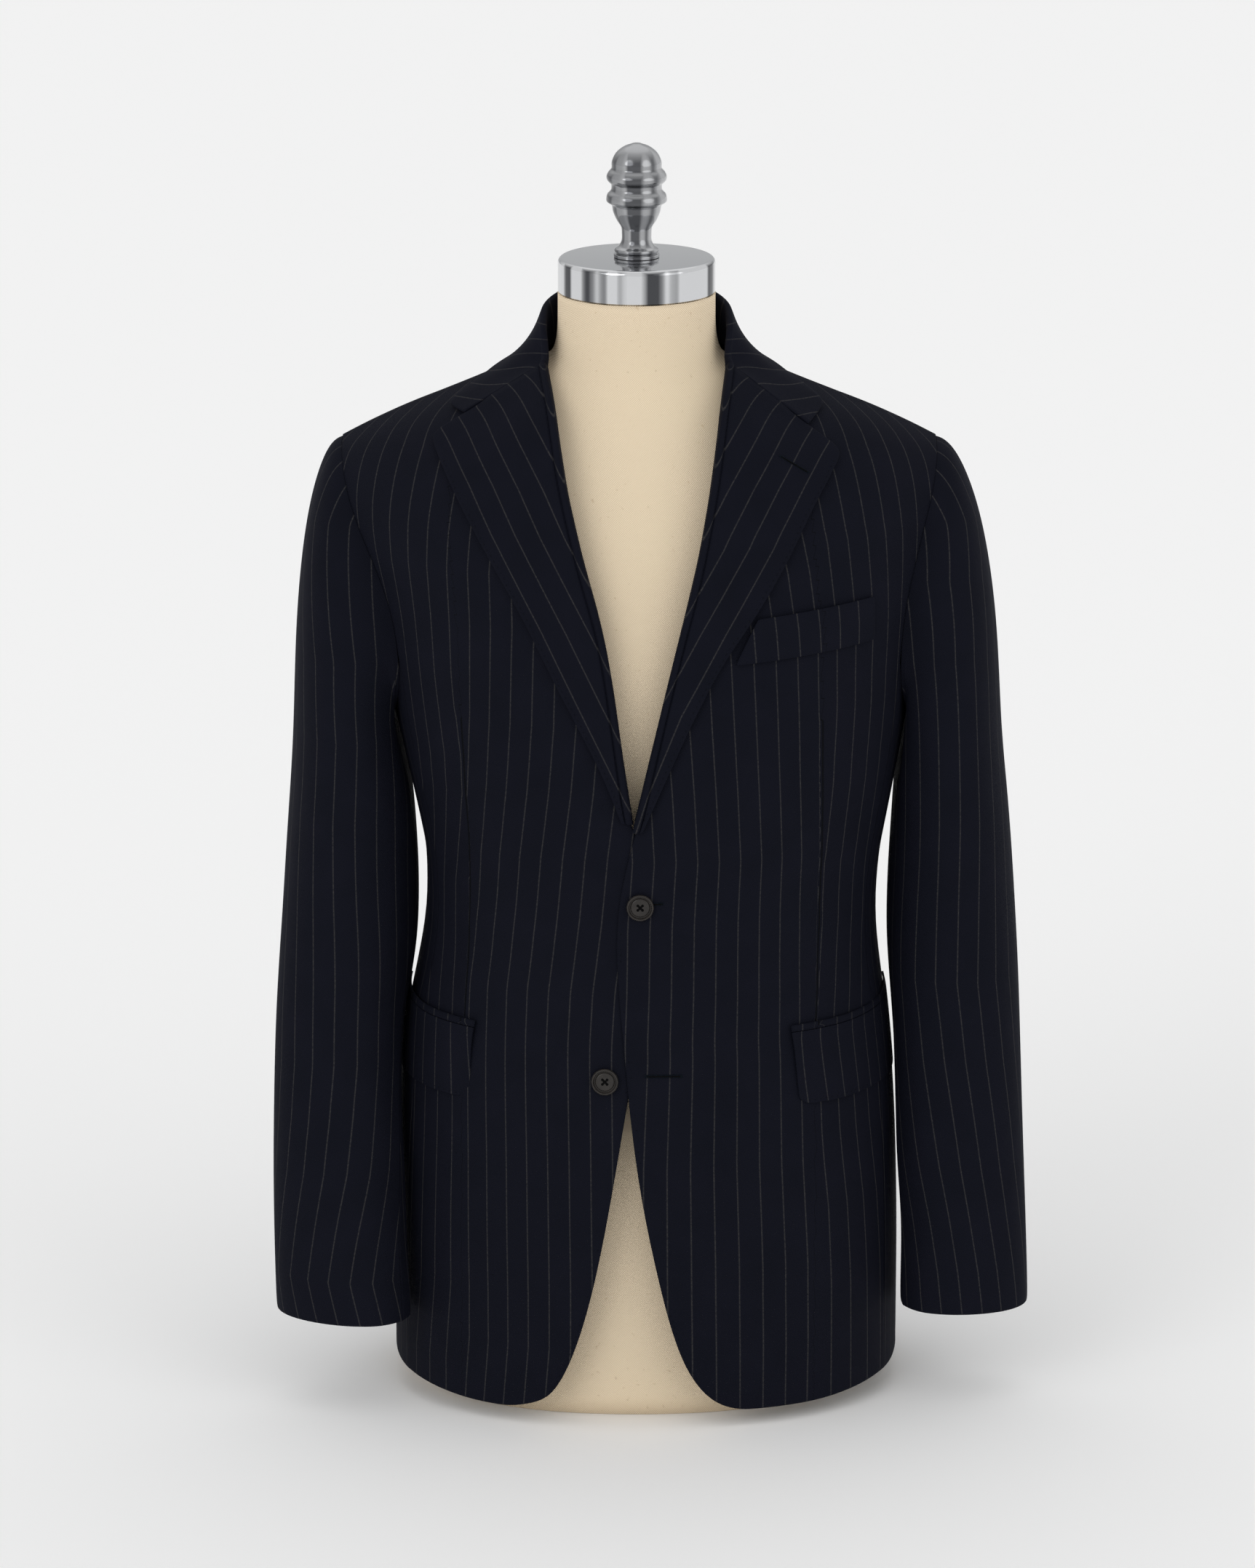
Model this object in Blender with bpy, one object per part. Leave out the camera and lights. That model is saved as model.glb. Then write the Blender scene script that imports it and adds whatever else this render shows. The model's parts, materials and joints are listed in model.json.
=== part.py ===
"""Chalk stripe suit jacket on a limbless dress form.

The jacket hangs on the form as it is worn: two fronts that close left over right, side
panels, backs with a centre seam, two-piece sleeves, notched lapels and a turned-down
collar. The form is a smooth torso that stands on its own flat base, with a metal neck cap
and a turned finial. Sizes are in millimetres until a mesh is made, which is in metres.

Frame: +Z up, the front of the jacket faces -Y, and +X is the wearer's left. Every surface
is worked out around the form's axis; the last step moves the whole so that the origin is
under the middle of its box.
"""

import math

import bmesh
import bpy
import numpy as np
from mathutils import Matrix, Vector

MM = 0.001
LEFT, RIGHT = 1, -1
SIDE_NAMES = {LEFT: "left", RIGHT: "right"}

# Cloth and the gaps between pieces
BODY_WALL = 2.0
SLEEVE_WALL = 1.8
TURNED_WALL = 2.0
POCKET_WALL = 1.6
HALF_SEAM = 0.18
SLEEVE_HALF_SEAM = 0.22
LAYER_GAP = 0.35
POCKET_GAP = 0.8
LAPEL_GAP = 1.5

# The jacket's levels and cut
ARM_LEVEL = 560.0
PIT_DEPTH = 48.0
SIDE_SEAM_ANGLE = 70.0
UNDERARM_STEPS = 8
SIDE_POWER = 2.4
FRONT_POWER, BACK_POWER = 2.4, 2.2
SHOULDER_REACH = 231.0
SHOULDER_Y = 12.0
NECK_HALF_WIDTH = 70.0
NECK_POINT_HEIGHT = 778.0
BACK_NECK_RISE, BACK_NECK_DEPTH = 8.0, 50.0
BODY_ROWS = np.array([12, 15, 20, 30, 48, 78, 120, 175, 235, 290, 340, 390, 440, 452, 500, 560.0])
SHOULDER_ROWS = np.sin(np.radians(np.linspace(0, 90, 8)))[1:]
FRONT_COLUMNS = 9
BACK_TURNS = (0, 5, 9.5, 13.5, 17.6, 31, 44, 57, 70)
NECK_COLUMNS = 5

# The overlap of the left front on the right one
OVERLAP_DIP = 2.4
OVERLAP_REACH = 48.0
OVERLAP_RAMP = 32.0
OVERLAP_TOP, OVERLAP_BOTTOM = 478.0, 200.0

# The turned edges
ROLL_RADIUS = 2.9
EDGE_CLEARANCE = 0.9
GORGE = (66.5, 772.7)
NOTCH_FRACTION = 0.67
LAPEL_FOOT = {LEFT: 452.0, RIGHT: 458.0}
LAPEL_TIP = {LEFT: (148.9, 718.7), RIGHT: (149.4, 727.6)}
LAPEL_ROWS = 17
LAPEL_COLUMNS = np.array([0.07, 0.2, 0.4, 0.6, 0.8, 1.0])
LAPEL_PUFF = (1.2, 3.4)
COLLAR_LIFT = 3.4
COLLAR_SIDE = 0.55
COLLAR_CONTROL = 0.3

# Pockets
FLAP_TOP, FLAP_HEIGHT = 297.0, 52.0
FLAP_FRONT_X = {LEFT: 112.4, RIGHT: 118.0}
FLAP_REAR_ANGLE = 95.0
FLAP_SLANT = 9.0
FLAP_CORNER = 9.0
JET_HEIGHT = 5.0
WELT_FOOT = ((70.5, 576.5), (170.8, 585.2))
WELT_TOP = ((86.5, 609.5), (170.5, 617.3))

# Buttons
BUTTON_RADIUS = 10.0
BUTTON_HOLE_RADIUS = 0.9
BUTTON_HOLE_PITCH = 1.7
TOP_BUTTON = (2.6, 396.0)
LOWER_BUTTON = (-23.1, 264.7)

# The dress form
NECK_RADIUS = 57.5
NECK_TOP = 822.6
CAP_RADIUS, CAP_HEIGHT, CAP_EDGE = 59.0, 25.0, 2.5
SEAT_GAP = 0.4
FORM_SEGMENTS = 44
FORM_POWER = 2.2

# Finishes: colour (linear), roughness, metallic
FINISHES = {
    "suiting": ((0.012, 0.013, 0.024), 0.85, 0.0),
    "horn": ((0.016, 0.014, 0.013), 0.35, 0.0),
    "linen": ((0.80, 0.62, 0.43), 0.9, 0.0),
    "chrome": ((0.62, 0.62, 0.64), 0.15, 1.0),
}


def smooth_curve(xs, ys):
    """A cubic curve through a table's points that never overshoots them."""
    step = np.diff(xs)
    slope = np.diff(ys) / step
    both = slope[1:] * slope[:-1]
    total = np.where(both > 0, slope[1:] + slope[:-1], 1.0)
    inner = np.where(both > 0, 2 * both / total, 0.0)
    tangent = np.concatenate([slope[:1], inner, slope[-1:]])

    def value(x):
        x = np.clip(x, xs[0], xs[-1])
        k = np.clip(np.searchsorted(xs, x, side="right") - 1, 0, len(step) - 1)
        t = (x - xs[k]) / step[k]
        rise = (1 + 2 * t) * (1 - t) ** 2 * ys[k] + t * t * (3 - 2 * t) * ys[k + 1]
        lean = t * (1 - t) ** 2 * tangent[k] + t * t * (t - 1) * tangent[k + 1]
        return rise + lean * step[k]

    return value


class Table:
    """Rows of sizes under named columns; each column is a smooth curve over the first."""

    def __init__(self, columns, rows):
        data = np.array(sorted(rows), float)
        for k, name in enumerate(columns.split()[1:], 1):
            setattr(self, name, smooth_curve(data[:, 0], data[:, k]))


def ease(x):
    """0 below 0, 1 above 1, and a soft step between."""
    x = np.clip(x, 0.0, 1.0)
    return x * x * (3 - 2 * x)


def unit(v):
    return v / np.linalg.norm(v, axis=-1, keepdims=True)


def mix(a, b, t):
    return a + (b - a) * t


# Level sections of the jacket: half width, half depths, and how far it hangs to one side
SECTIONS = Table(
    "height half_width front back sway",
    [
        (0, 189, 148, 140, 7.2),
        (100, 189, 147, 138, 7.4),
        (200, 186.5, 143, 130, 7.6),
        (293, 178.5, 139, 118, 8.0),
        (327, 169.8, 137, 112, 9.8),
        (375, 165.3, 135, 108, 11.3),
        (428, 171.7, 136, 111, 12.6),
        (500, 187, 139, 119, 11.0),
        (560, 194, 140, 125, 9.5),
        (600, 194, 140, 125, 8.5),
        (642, 194, 140, 125, 4.8),
        (668, 194, 140, 125, 2.6),
        (714, 194, 140, 125, 2.0),
        (790, 194, 140, 125, 0.0),
    ],
)
SHOULDER_LINE = Table(
    "reach height",
    [(0, 796), (40, 789), (70, 778), (88, 770), (126, 754), (168, 738), (202, 722), (217, 714), (231, 705)],
)
HEM = Table("degrees height", [(0, 12), (35, 12), (70, 17), (90, 19), (130, 17), (180, 15)])

# The edge of each front: cutaway, overlap, then the line on which the lapel rolls
FRONT_EDGE = Table(
    "height right left",
    [
        (12, -93.7, 77.6),
        (15, -80.0, 66.0),
        (20, -66.9, 56.2),
        (37, -54.0, 40.6),
        (54, -46.5, 32.0),
        (71, -40.6, 26.1),
        (105, -31.4, 17.6),
        (172, -18.6, 3.2),
        (206, -12.7, -1.6),
        (247, -6.5, -6.5),
        (300, 3.0, -10.5),
        (341, 12.0, -14.2),
        (388, 19.0, -15.3),
        (425, 16.0, -10.0),
        (440, 6.0, -4.5),
        (452, -4.0, -0.6),
        (500, -11.3, 10.2),
        (592, -24.5, 31.5),
        (646, -39.2, 45.0),
        (709, -54.1, 56.5),
        (762, -62.8, 64.0),
        (772.7, -66.5, 66.5),
        (778, -69.0, 69.0),
    ],
)
LAPEL_EDGE = Table(
    "height right left",
    [
        (452, -8.5, 4.0),
        (488, -21.5, 19.4),
        (561, -57.5, 52.7),
        (585, -69.3, 66.5),
        (609, -81.2, 83.3),
        (650, -105.2, 108.4),
        (691, -129.5, 130.0),
        (718.7, -144.5, 148.9),
        (727.6, -149.4, 152.0),
    ],
)

# The collar from the nape (0) to its front end (1): the fold, and its free edge in plan
COLLAR = Table(
    "station fold_x fold_y fold_z edge_x edge_y",
    [
        (0.0, 0, 67.5, 823.0, 0, 85),
        (0.2, 29, 61.0, 821.5, 38, 78),
        (0.4, 56, 39.0, 816.0, 74, 53),
        (0.55, 67, 13.5, 810.0, 98, 20),
        (0.7, 68, -9.5, 803.0, 113, -4),
        (0.85, 67, -25.0, 790.0, 127, -19),
        (0.93, 66.6, -33.0, 781.5, 137, -30),
    ],
)
COLLAR_STATIONS = np.array([0, 0.1, 0.2, 0.3, 0.4, 0.48, 0.55, 0.62, 0.7, 0.78, 0.86, 0.93])
COLLAR_COLUMNS = np.array([0.15, 0.32, 0.5, 0.68, 0.84, 1.0])

# Level sections of the sleeves: where they reach from the axis, and front to back
SLEEVES = {
    RIGHT: Table(
        "height outer inner centre_y half_depth turn",
        [
            (500, 253, 168.5, -2, 72, 0),
            (455, 256, 160.0, -4, 71, 0),
            (410, 259.5, 160.5, -8, 69, 2),
            (365, 262, 163.0, -13, 65, 6),
            (320, 264.5, 168.0, -22, 60, 12),
            (275, 266.5, 171.5, -33, 55, 17),
            (225, 268, 171.0, -46, 51, 20),
            (175, 269.5, 169.5, -58, 47, 22),
            (120, 270, 167.0, -68, 43, 23),
            (67, 269.5, 163.6, -75, 40, 24),
        ],
    ),
    LEFT: Table(
        "height outer inner centre_y half_depth turn",
        [
            (500, 269, 184, -2, 72, 0),
            (455, 274, 185.5, -4, 71, 0),
            (410, 278, 186, -7, 69, 0),
            (365, 281, 187, -11, 65, 2),
            (320, 283.5, 189.5, -17, 60, 4),
            (275, 285, 191.5, -25, 55, 6),
            (225, 286.5, 192.5, -34, 51, 8),
            (175, 288.5, 193.5, -42, 47, 9),
            (120, 291, 194.5, -48, 43, 10),
            (67, 293, 194.8, -52, 40, 10),
        ],
    ),
}
SLEEVE_HEAD = 500.0
HEAD_STEPS = (0.0, 0.1, 0.24, 0.42, 0.6, 0.8, 1.0)
SLEEVE_LEVELS = (455, 410, 365, 320, 275, 225, 175, 120, 67)
SLEEVE_POWER = 2.2
CAP_REACH = {LEFT: 23.0, RIGHT: 20.0}
UNDERARM_REACH = 4.0
BODY_CLEARANCE = 0.014
FLAP_CLEARANCE = 0.034
FRONT_SLEEVE_SEAM, BACK_SLEEVE_SEAM = 10, 17

# The form from its neck down: side, front and back reach, each with its height
FORM_SHOULDERS = [
    (57.5, 806, 57.5, 798, 57.5, 804),
    (57.8, 792, 58.5, 781, 57.5, 789),
    (60.5, 780, 63.0, 765, 58.5, 778),
    (66, 774.3, 69.5, 752, 65, 768),
    (76, 771.9, 78, 737, 75, 754),
    (96, 763.4, 89, 719, 84, 728),
    (126, 750.8, 102, 694, 95, 696),
    (158, 738.2, 112, 668, 103, 666),
    (180, 722, 118, 642, 107, 640),
    (190, 696, 121, 618, 109, 617),
    (188, 655, 123, 599, 110, 597),
    (178, 605, 124, 580, 110, 579),
]
FORM_LEVELS = [
    (560, 170, 124, 109),
    (500, 163, 120, 103),
    (428, 150, 114, 93),
    (375, 144, 113, 90),
    (320, 149, 115, 94),
    (250, 162, 119, 104),
    (160, 168, 121, 114),
    (60, 167, 120, 114),
    (0, 164, 118, 111),
]

# The finial's profile: height above the cap, radius
FINIAL = [
    (0, 16.5),
    (2.2, 16.5),
    (2.6, 14.6),
    (4.0, 15.9),
    (6.0, 15.9),
    (8.0, 13.0),
    (12, 11.0),
    (17, 10.8),
    (22, 11.4),
    (27, 14.5),
    (33, 17.1),
    (38, 18.2),
    (40.5, 21.6),
    (43, 22.0),
    (46, 21.2),
    (49, 18.7),
    (53, 18.5),
    (56, 21.2),
    (59, 21.9),
    (62, 20.6),
    (65, 18.3),
    (70, 18.0),
    (76, 15.0),
    (80.5, 9.5),
    (83, 3.0),
]


class Torso:
    """The jacket's outer surface, by angle from the centre front and by height.

    Below the arm level it is a stack of level ovals. Above it, each column of the front and
    of the back rises in a quarter oval, and the two meet along the shoulder line.
    """

    def shoulder(self, q, front):
        """Height and depth of the line on which a column of the surface ends."""
        reach = SHOULDER_REACH * q
        inner = np.clip(1 - (reach / NECK_HALF_WIDTH) ** 2, 0, 1)
        on_neck = ~front & (reach < NECK_HALF_WIDTH)
        neckline = NECK_POINT_HEIGHT + BACK_NECK_RISE * inner
        height = np.where(on_neck, neckline, SHOULDER_LINE.height(reach))
        depth = SHOULDER_Y + np.where(front, 0, BACK_NECK_DEPTH * np.sqrt(inner))
        return height, depth

    def __call__(self, angle, height):
        angle, height = np.broadcast_arrays(np.asarray(angle, float), np.asarray(height, float))
        q, side = np.abs(np.sin(angle)), np.sign(np.sin(angle))
        front = np.cos(angle) >= 0
        level = np.minimum(height, ARM_LEVEL)
        oval = (1 - np.clip(q, 0, 1) ** SIDE_POWER) ** (1 / SIDE_POWER)
        depth = np.where(front, -SECTIONS.front(level), SECTIONS.back(level)) * oval
        top, ridge = self.shoulder(q, front)
        t = np.clip((height - ARM_LEVEL) / (top - ARM_LEVEL), 0, 1)
        power = np.where(front, FRONT_POWER, BACK_POWER)
        close = (1 - t**power) ** (1 / power)
        width = SECTIONS.half_width(level)
        x = side * q * (width + (SHOULDER_REACH - width) * ease(t) ** 1.15) + SECTIONS.sway(height)
        y = np.where(t > 0, ridge + (depth - ridge) * close, depth)
        return np.stack([x, y, np.minimum(height, top)], -1)

    def normal(self, angle, height):
        """The surface's outward direction."""
        turn, rise = 0.004, 0.5
        q, front = np.abs(np.sin(angle)), np.cos(angle) >= 0
        top, _ = self.shoulder(q, front)
        across = self(angle + turn, height) - self(angle - turn, height)
        below = np.minimum(height, top - 2 * rise)
        up = self(angle, below + rise) - self(angle, below - rise)
        level = np.where(front, 1.0, -1.0)[..., None] * np.array([0.0, 1.0, 0.0])
        at_top = (height > top - rise)[..., None]
        return unit(np.cross(across, np.where(at_top, level, up)))

    def angle_at(self, x, height):
        """The angle at which the front has this x at this height."""
        x, height = np.broadcast_arrays(np.asarray(x, float), np.asarray(height, float))
        low = np.full(x.shape, -math.pi / 2)
        high = np.full(x.shape, math.pi / 2)
        for _ in range(36):
            middle = (low + high) / 2
            too_low = self(middle, height)[..., 0] < x
            low = np.where(too_low, middle, low)
            high = np.where(too_low, high, middle)
        return middle

    def on_front(self, x, height, lift=0.0):
        """The point of the front with this x and height, moved out, and its normal."""
        angle = self.angle_at(x, height)
        n = self.normal(angle, height)
        return self(angle, height) + n * np.asarray(lift, float)[..., None], n

    def under(self, x, y):
        """The point of the shoulders with this place in plan, and its normal."""
        x, y = np.asarray(x, float), np.asarray(y, float)
        front = y < SHOULDER_Y
        low = np.full(x.shape, ARM_LEVEL)
        high = np.full(x.shape, SHOULDER_LINE.height(0.0))
        for _ in range(30):
            middle = (low + high) / 2
            angle = self.angle_at(x, middle)
            angle = np.where(front, angle, math.pi - angle)
            top, _ = self.shoulder(np.abs(np.sin(angle)), front)
            point = self(angle, middle)
            inside = np.where(front, point[..., 1] < y, point[..., 1] > y) & (middle < top)
            low = np.where(inside, middle, low)
            high = np.where(inside, high, middle)
        return self(angle, low), self.normal(angle, low)


JACKET = Torso()


def overlap_dip(x, height):
    """How far the right front lies under the left one."""
    across = ease((x + OVERLAP_REACH) / OVERLAP_RAMP)
    up = ease((OVERLAP_TOP - height) / 18) * ease((height - OVERLAP_BOTTOM) / 45)
    return OVERLAP_DIP * across * up


def finish(name):
    """The material of one finish, made once."""
    if name in bpy.data.materials:
        return bpy.data.materials[name]
    colour, roughness, metallic = FINISHES[name]
    material = bpy.data.materials.new(name)
    material.use_nodes = True
    shader = material.node_tree.nodes["Principled BSDF"]
    shader.inputs["Base Color"].default_value = (*colour, 1.0)
    shader.inputs["Roughness"].default_value = roughness
    shader.inputs["Metallic"].default_value = metallic
    return material


def add_object(name, finish_name, points, faces):
    """One named object from points in millimetres."""
    mesh = bpy.data.meshes.new(name)
    mesh.from_pydata([tuple(p) for p in np.asarray(points) * MM], [], faces)
    bm = bmesh.new()
    bm.from_mesh(mesh)
    bmesh.ops.recalc_face_normals(bm, faces=bm.faces)
    bm.to_mesh(mesh)
    bm.free()
    mesh.shade_smooth()
    mesh.set_sharp_from_angle(angle=math.radians(40))
    mesh.materials.append(finish(finish_name))
    part = bpy.data.objects.new(name, mesh)
    bpy.context.scene.collection.objects.link(part)
    return part


def add_wall(name, outer, inner, finish_name="suiting"):
    """A closed wall between two matching grids of points."""
    rows, columns = outer.shape[:2]
    points = np.concatenate([outer.reshape(-1, 3), inner.reshape(-1, 3)])

    def index(i, j, layer):
        return layer * rows * columns + i * columns + j

    faces = []
    for i in range(rows - 1):
        for j in range(columns - 1):
            quad = [(i, j), (i, j + 1), (i + 1, j + 1), (i + 1, j)]
            faces.append([index(a, b, 0) for a, b in quad])
            faces.append([index(a, b, 1) for a, b in reversed(quad)])
    rim = [(0, j) for j in range(columns - 1)]
    rim += [(i, columns - 1) for i in range(rows - 1)]
    rim += [(rows - 1, j) for j in range(columns - 1, 0, -1)]
    rim += [(i, 0) for i in range(rows - 1, 0, -1)]
    for k, (i, j) in enumerate(rim):
        a, b = rim[(k + 1) % len(rim)]
        faces.append([index(i, j, 0), index(i, j, 1), index(a, b, 1), index(a, b, 0)])
    return add_object(name, finish_name, points, faces)


def draw_in(grid, first_column=0.0, last_column=0.0, first_row=0.0, last_row=0.0):
    """The grid with its outer lines drawn in by these distances."""
    grid = grid.copy()
    lines = (
        (np.s_[:, 0], np.s_[:, 1], first_column),
        (np.s_[:, -1], np.s_[:, -2], last_column),
        (np.s_[0], np.s_[1], first_row),
        (np.s_[-1], np.s_[-2], last_row),
    )
    for line, neighbour, distance in lines:
        grid[line] = grid[line] + unit(grid[neighbour] - grid[line]) * distance
    return grid


def add_panel(name, angles, heights, seams, lift=0.0):
    """A body panel: a wall that follows the jacket's surface over a grid of places."""
    surface = JACKET(angles, heights)
    normals = JACKET.normal(angles, heights)
    outer = draw_in(surface + normals * np.asarray(lift)[..., None], **seams)
    add_wall(name, outer, outer - normals * BODY_WALL)
    return surface


def row_heights(angles, arm_level, top):
    """Heights of a panel's rows: from the hem to the arm level, then to the shoulder."""
    hem = HEM.height(np.abs(np.degrees(angles)))
    below = (BODY_ROWS - BODY_ROWS[0]) / (ARM_LEVEL - BODY_ROWS[0])
    count = len(below)
    heights = hem + np.concatenate([below, np.ones(len(angles) - count)])[:, None] * (arm_level - hem)
    if top is not None:
        heights[count:] = ARM_LEVEL + SHOULDER_ROWS[:, None] * (top[count:] - ARM_LEVEL)
    return heights


def front_panel(side):
    """One front, from its edge and roll line to the side seam and armhole."""
    edge = FRONT_EDGE.left if side == LEFT else FRONT_EDGE.right
    above = ARM_LEVEL + SHOULDER_ROWS * (NECK_POINT_HEIGHT - ARM_LEVEL)
    edge_heights = np.concatenate([BODY_ROWS, above])
    inner = JACKET.angle_at(edge(edge_heights), edge_heights)
    outer = side * math.radians(SIDE_SEAM_ANGLE)
    angles = mix(inner[:, None], outer, np.linspace(0, 1, FRONT_COLUMNS + 1))
    reach = np.maximum(np.abs(np.sin(angles)) * SHOULDER_REACH, NECK_HALF_WIDTH)
    heights = row_heights(angles, ARM_LEVEL, SHOULDER_LINE.height(reach))
    x = JACKET(angles, heights)[..., 0]
    lift = -overlap_dip(x, heights) if side == RIGHT else np.zeros_like(x)
    seams = {"last_column": HALF_SEAM, "last_row": HALF_SEAM}
    return add_panel("front_" + SIDE_NAMES[side], angles, heights, seams, lift)


def back_panel(side):
    """One back, from the centre seam to the side seam and armhole."""
    turn = 180 - np.array(BACK_TURNS)
    rows = len(BODY_ROWS) + len(SHOULDER_ROWS)
    angles = np.tile(side * np.radians(turn), (rows, 1))
    top, _ = JACKET.shoulder(np.abs(np.sin(angles)), np.zeros(angles.shape, bool))
    heights = row_heights(angles, ARM_LEVEL, top)
    seams = {"first_column": HALF_SEAM, "last_column": HALF_SEAM, "last_row": HALF_SEAM}
    return add_panel("back_" + SIDE_NAMES[side], angles, heights, seams)


def side_panel(side):
    """The panel under the arm, whose top edge is the bottom of the armhole."""
    around = np.radians(np.linspace(0, 180, UNDERARM_STEPS + 1))
    turn = 90 - (90 - SIDE_SEAM_ANGLE) * np.cos(around)
    angles = np.tile(side * np.radians(turn), (len(BODY_ROWS), 1))
    heights = row_heights(angles, ARM_LEVEL - PIT_DEPTH * np.sin(around), None)
    seams = {"first_column": HALF_SEAM, "last_column": HALF_SEAM, "last_row": HALF_SEAM}
    return add_panel("side_" + SIDE_NAMES[side], angles, heights, seams)


def armhole(front, under, back):
    """The armhole's points from the shoulder down the front and up the back, with the
    direction in which the body's surface ends at each."""
    arm_row = len(BODY_ROWS) - 1
    front_edge, front_next = front[arm_row:, -1], front[arm_row:, -2]
    back_edge, back_next = back[arm_row:, -1], back[arm_row:, -2]
    points = np.concatenate([front_edge[::-1], under[-1, 1:-1], back_edge[:-1]])
    neighbours = np.concatenate([front_next[::-1], under[-2, 1:-1], back_next[:-1]])
    return points, unit(points - neighbours)


def sleeve_ring(table, side, height, share):
    """One level section of a sleeve; share runs round from outside, by the front."""
    outer, inner = table.outer(height), table.inner(height)
    around = 2 * math.pi * share
    cos, sin = np.cos(around), np.sin(around)
    half_width, half_depth = (outer - inner) / 2, table.half_depth(height)
    across = half_width * np.sign(cos) * np.abs(cos) ** (2 / SLEEVE_POWER)
    along = -half_depth * np.sign(sin) * np.abs(sin) ** (2 / SLEEVE_POWER)
    turn = math.radians(float(table.turn(height)))
    x = across * math.cos(turn) - along * math.sin(turn)
    y = across * math.sin(turn) + along * math.cos(turn)
    ring = np.stack([side * ((outer + inner) / 2 + x), table.centre_y(height) + y], -1)
    return np.column_stack([ring, np.full(len(share), float(height))])


def clear_of_body(points):
    """The points moved out from the jacket's level ovals where they would touch them."""
    x, y, z = points[..., 0] - SECTIONS.sway(points[..., 2]), points[..., 1], points[..., 2]
    depth = np.where(y < 0, SECTIONS.front(z), SECTIONS.back(z))
    power = SIDE_POWER
    reach = (np.abs(x / SECTIONS.half_width(z)) ** power + np.abs(y / depth) ** power) ** (1 / power)
    margin = mix(FLAP_CLEARANCE, BODY_CLEARANCE, ease((z - 320) / 60))
    grow = np.where(z < ARM_LEVEL, np.maximum((1 + margin) / reach, 1.0), 1.0)
    moved = points.copy()
    moved[..., 0] = x * grow + SECTIONS.sway(z)
    moved[..., 1] = y * grow
    return moved


def grid_normals(grid, closed):
    """Directions square to a grid whose lines run round and along."""
    if closed:
        around = np.roll(grid, -1, axis=1) - np.roll(grid, 1, axis=1)
    else:
        around = np.gradient(grid, axis=1)
    return unit(np.cross(np.gradient(grid, axis=0), around))


def add_sleeve(side, ring_points, ring_exits):
    """A two-piece sleeve from the armhole to the cuff."""
    table = SLEEVES[side]
    start = ring_points + ring_exits * 2 * SLEEVE_HALF_SEAM
    step = np.linalg.norm(np.roll(start, -1, axis=0) - start, axis=1)
    share = np.concatenate([[0], np.cumsum(step)[:-1]]) / step.sum()
    low, high = start[:, 2].min(), start[:, 2].max()
    rise = (start[:, 2] - low) / (high - low)
    first = sleeve_ring(table, side, SLEEVE_HEAD, share)
    sideways = side * (0.5 + 0.5 * rise)
    forwards = -0.3 * np.sin(2 * math.pi * share)
    upwards = 0.06 - 0.8 * (1 - rise)
    out = unit(np.stack([sideways, forwards, upwards], -1))
    leave = start + out * mix(UNDERARM_REACH, CAP_REACH[side], rise[:, None])
    arrive = first + np.array([0, 0, 1.0]) * (UNDERARM_REACH + 0.6 * (start[:, 2:] - SLEEVE_HEAD))
    rings = []
    for t in HEAD_STEPS:
        s = 1 - t
        rings.append(s**3 * start + 3 * s * s * t * leave + 3 * s * t * t * arrive + t**3 * first)
    rings += [sleeve_ring(table, side, height, share) for height in SLEEVE_LEVELS]
    outer = np.array(rings)
    outer[1:] = clear_of_body(outer[1:])
    normals = grid_normals(outer, closed=True)
    middle = outer.mean(axis=1, keepdims=True)
    facing_in = np.sum(normals * (outer - middle), axis=-1).mean() < 0
    normals = -normals if facing_in else normals
    inward = (middle[0] - outer[0]) * np.array([0, 1, 1])
    normals[0] = -unit(inward)
    inner = outer - normals * SLEEVE_WALL
    count = outer.shape[1]
    seam_a, seam_b = FRONT_SLEEVE_SEAM, BACK_SLEEVE_SEAM
    spans = {
        "sleeve_under_": np.arange(seam_a, seam_b + 1),
        "sleeve_top_": np.arange(seam_b, seam_a + count + 1) % count,
    }
    edges = {"first_column": SLEEVE_HALF_SEAM, "last_column": SLEEVE_HALF_SEAM}
    for name, span in spans.items():
        add_wall(name + SIDE_NAMES[side], draw_in(outer[:, span], **edges), draw_in(inner[:, span], **edges))


def add_turned_wall(name, seam, fold, out, up, fall, fall_normals):
    """A wall that leaves a seam, turns over along a fold and falls to its free edge."""
    foot = seam - out * (TURNED_WALL + EDGE_CLEARANCE)
    arc, arc_normals = [], []
    for degrees in (180, 135, 90, 45, 0):
        a = math.radians(degrees)
        direction = math.cos(a) * out + math.sin(a) * up
        arc.append(fold + ROLL_RADIUS * (direction - up))
        arc_normals.append(direction)
    path = np.stack([foot, mix(foot, arc[0], 0.5), *arc, *fall], axis=1)
    normals = np.stack([-out, -out, *arc_normals, *fall_normals], axis=1)
    edges = {"first_row": HALF_SEAM, "last_row": HALF_SEAM}
    add_wall(name, draw_in(path, **edges), draw_in(path - normals * TURNED_WALL, **edges))


def lapel_edges(side, rows):
    """Places on the roll line and on the free edge of a lapel, as x and height."""
    roll = FRONT_EDGE.left if side == LEFT else FRONT_EDGE.right
    free = LAPEL_EDGE.left if side == LEFT else LAPEL_EDGE.right
    roll_height = mix(LAPEL_FOOT[side], GORGE[1], rows)
    free_height = mix(LAPEL_FOOT[side], LAPEL_TIP[side][1], rows)
    roll_line = np.stack([roll(roll_height), roll_height], -1)
    free_line = np.stack([free(free_height), free_height], -1)
    return roll_line, free_line


def lapel_lift(share, puff):
    """How far a lapel's outer face stands off the chest, from the roll to its edge."""
    return TURNED_WALL + LAPEL_GAP + 0.8 * puff * (1 - share) ** 2


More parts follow.
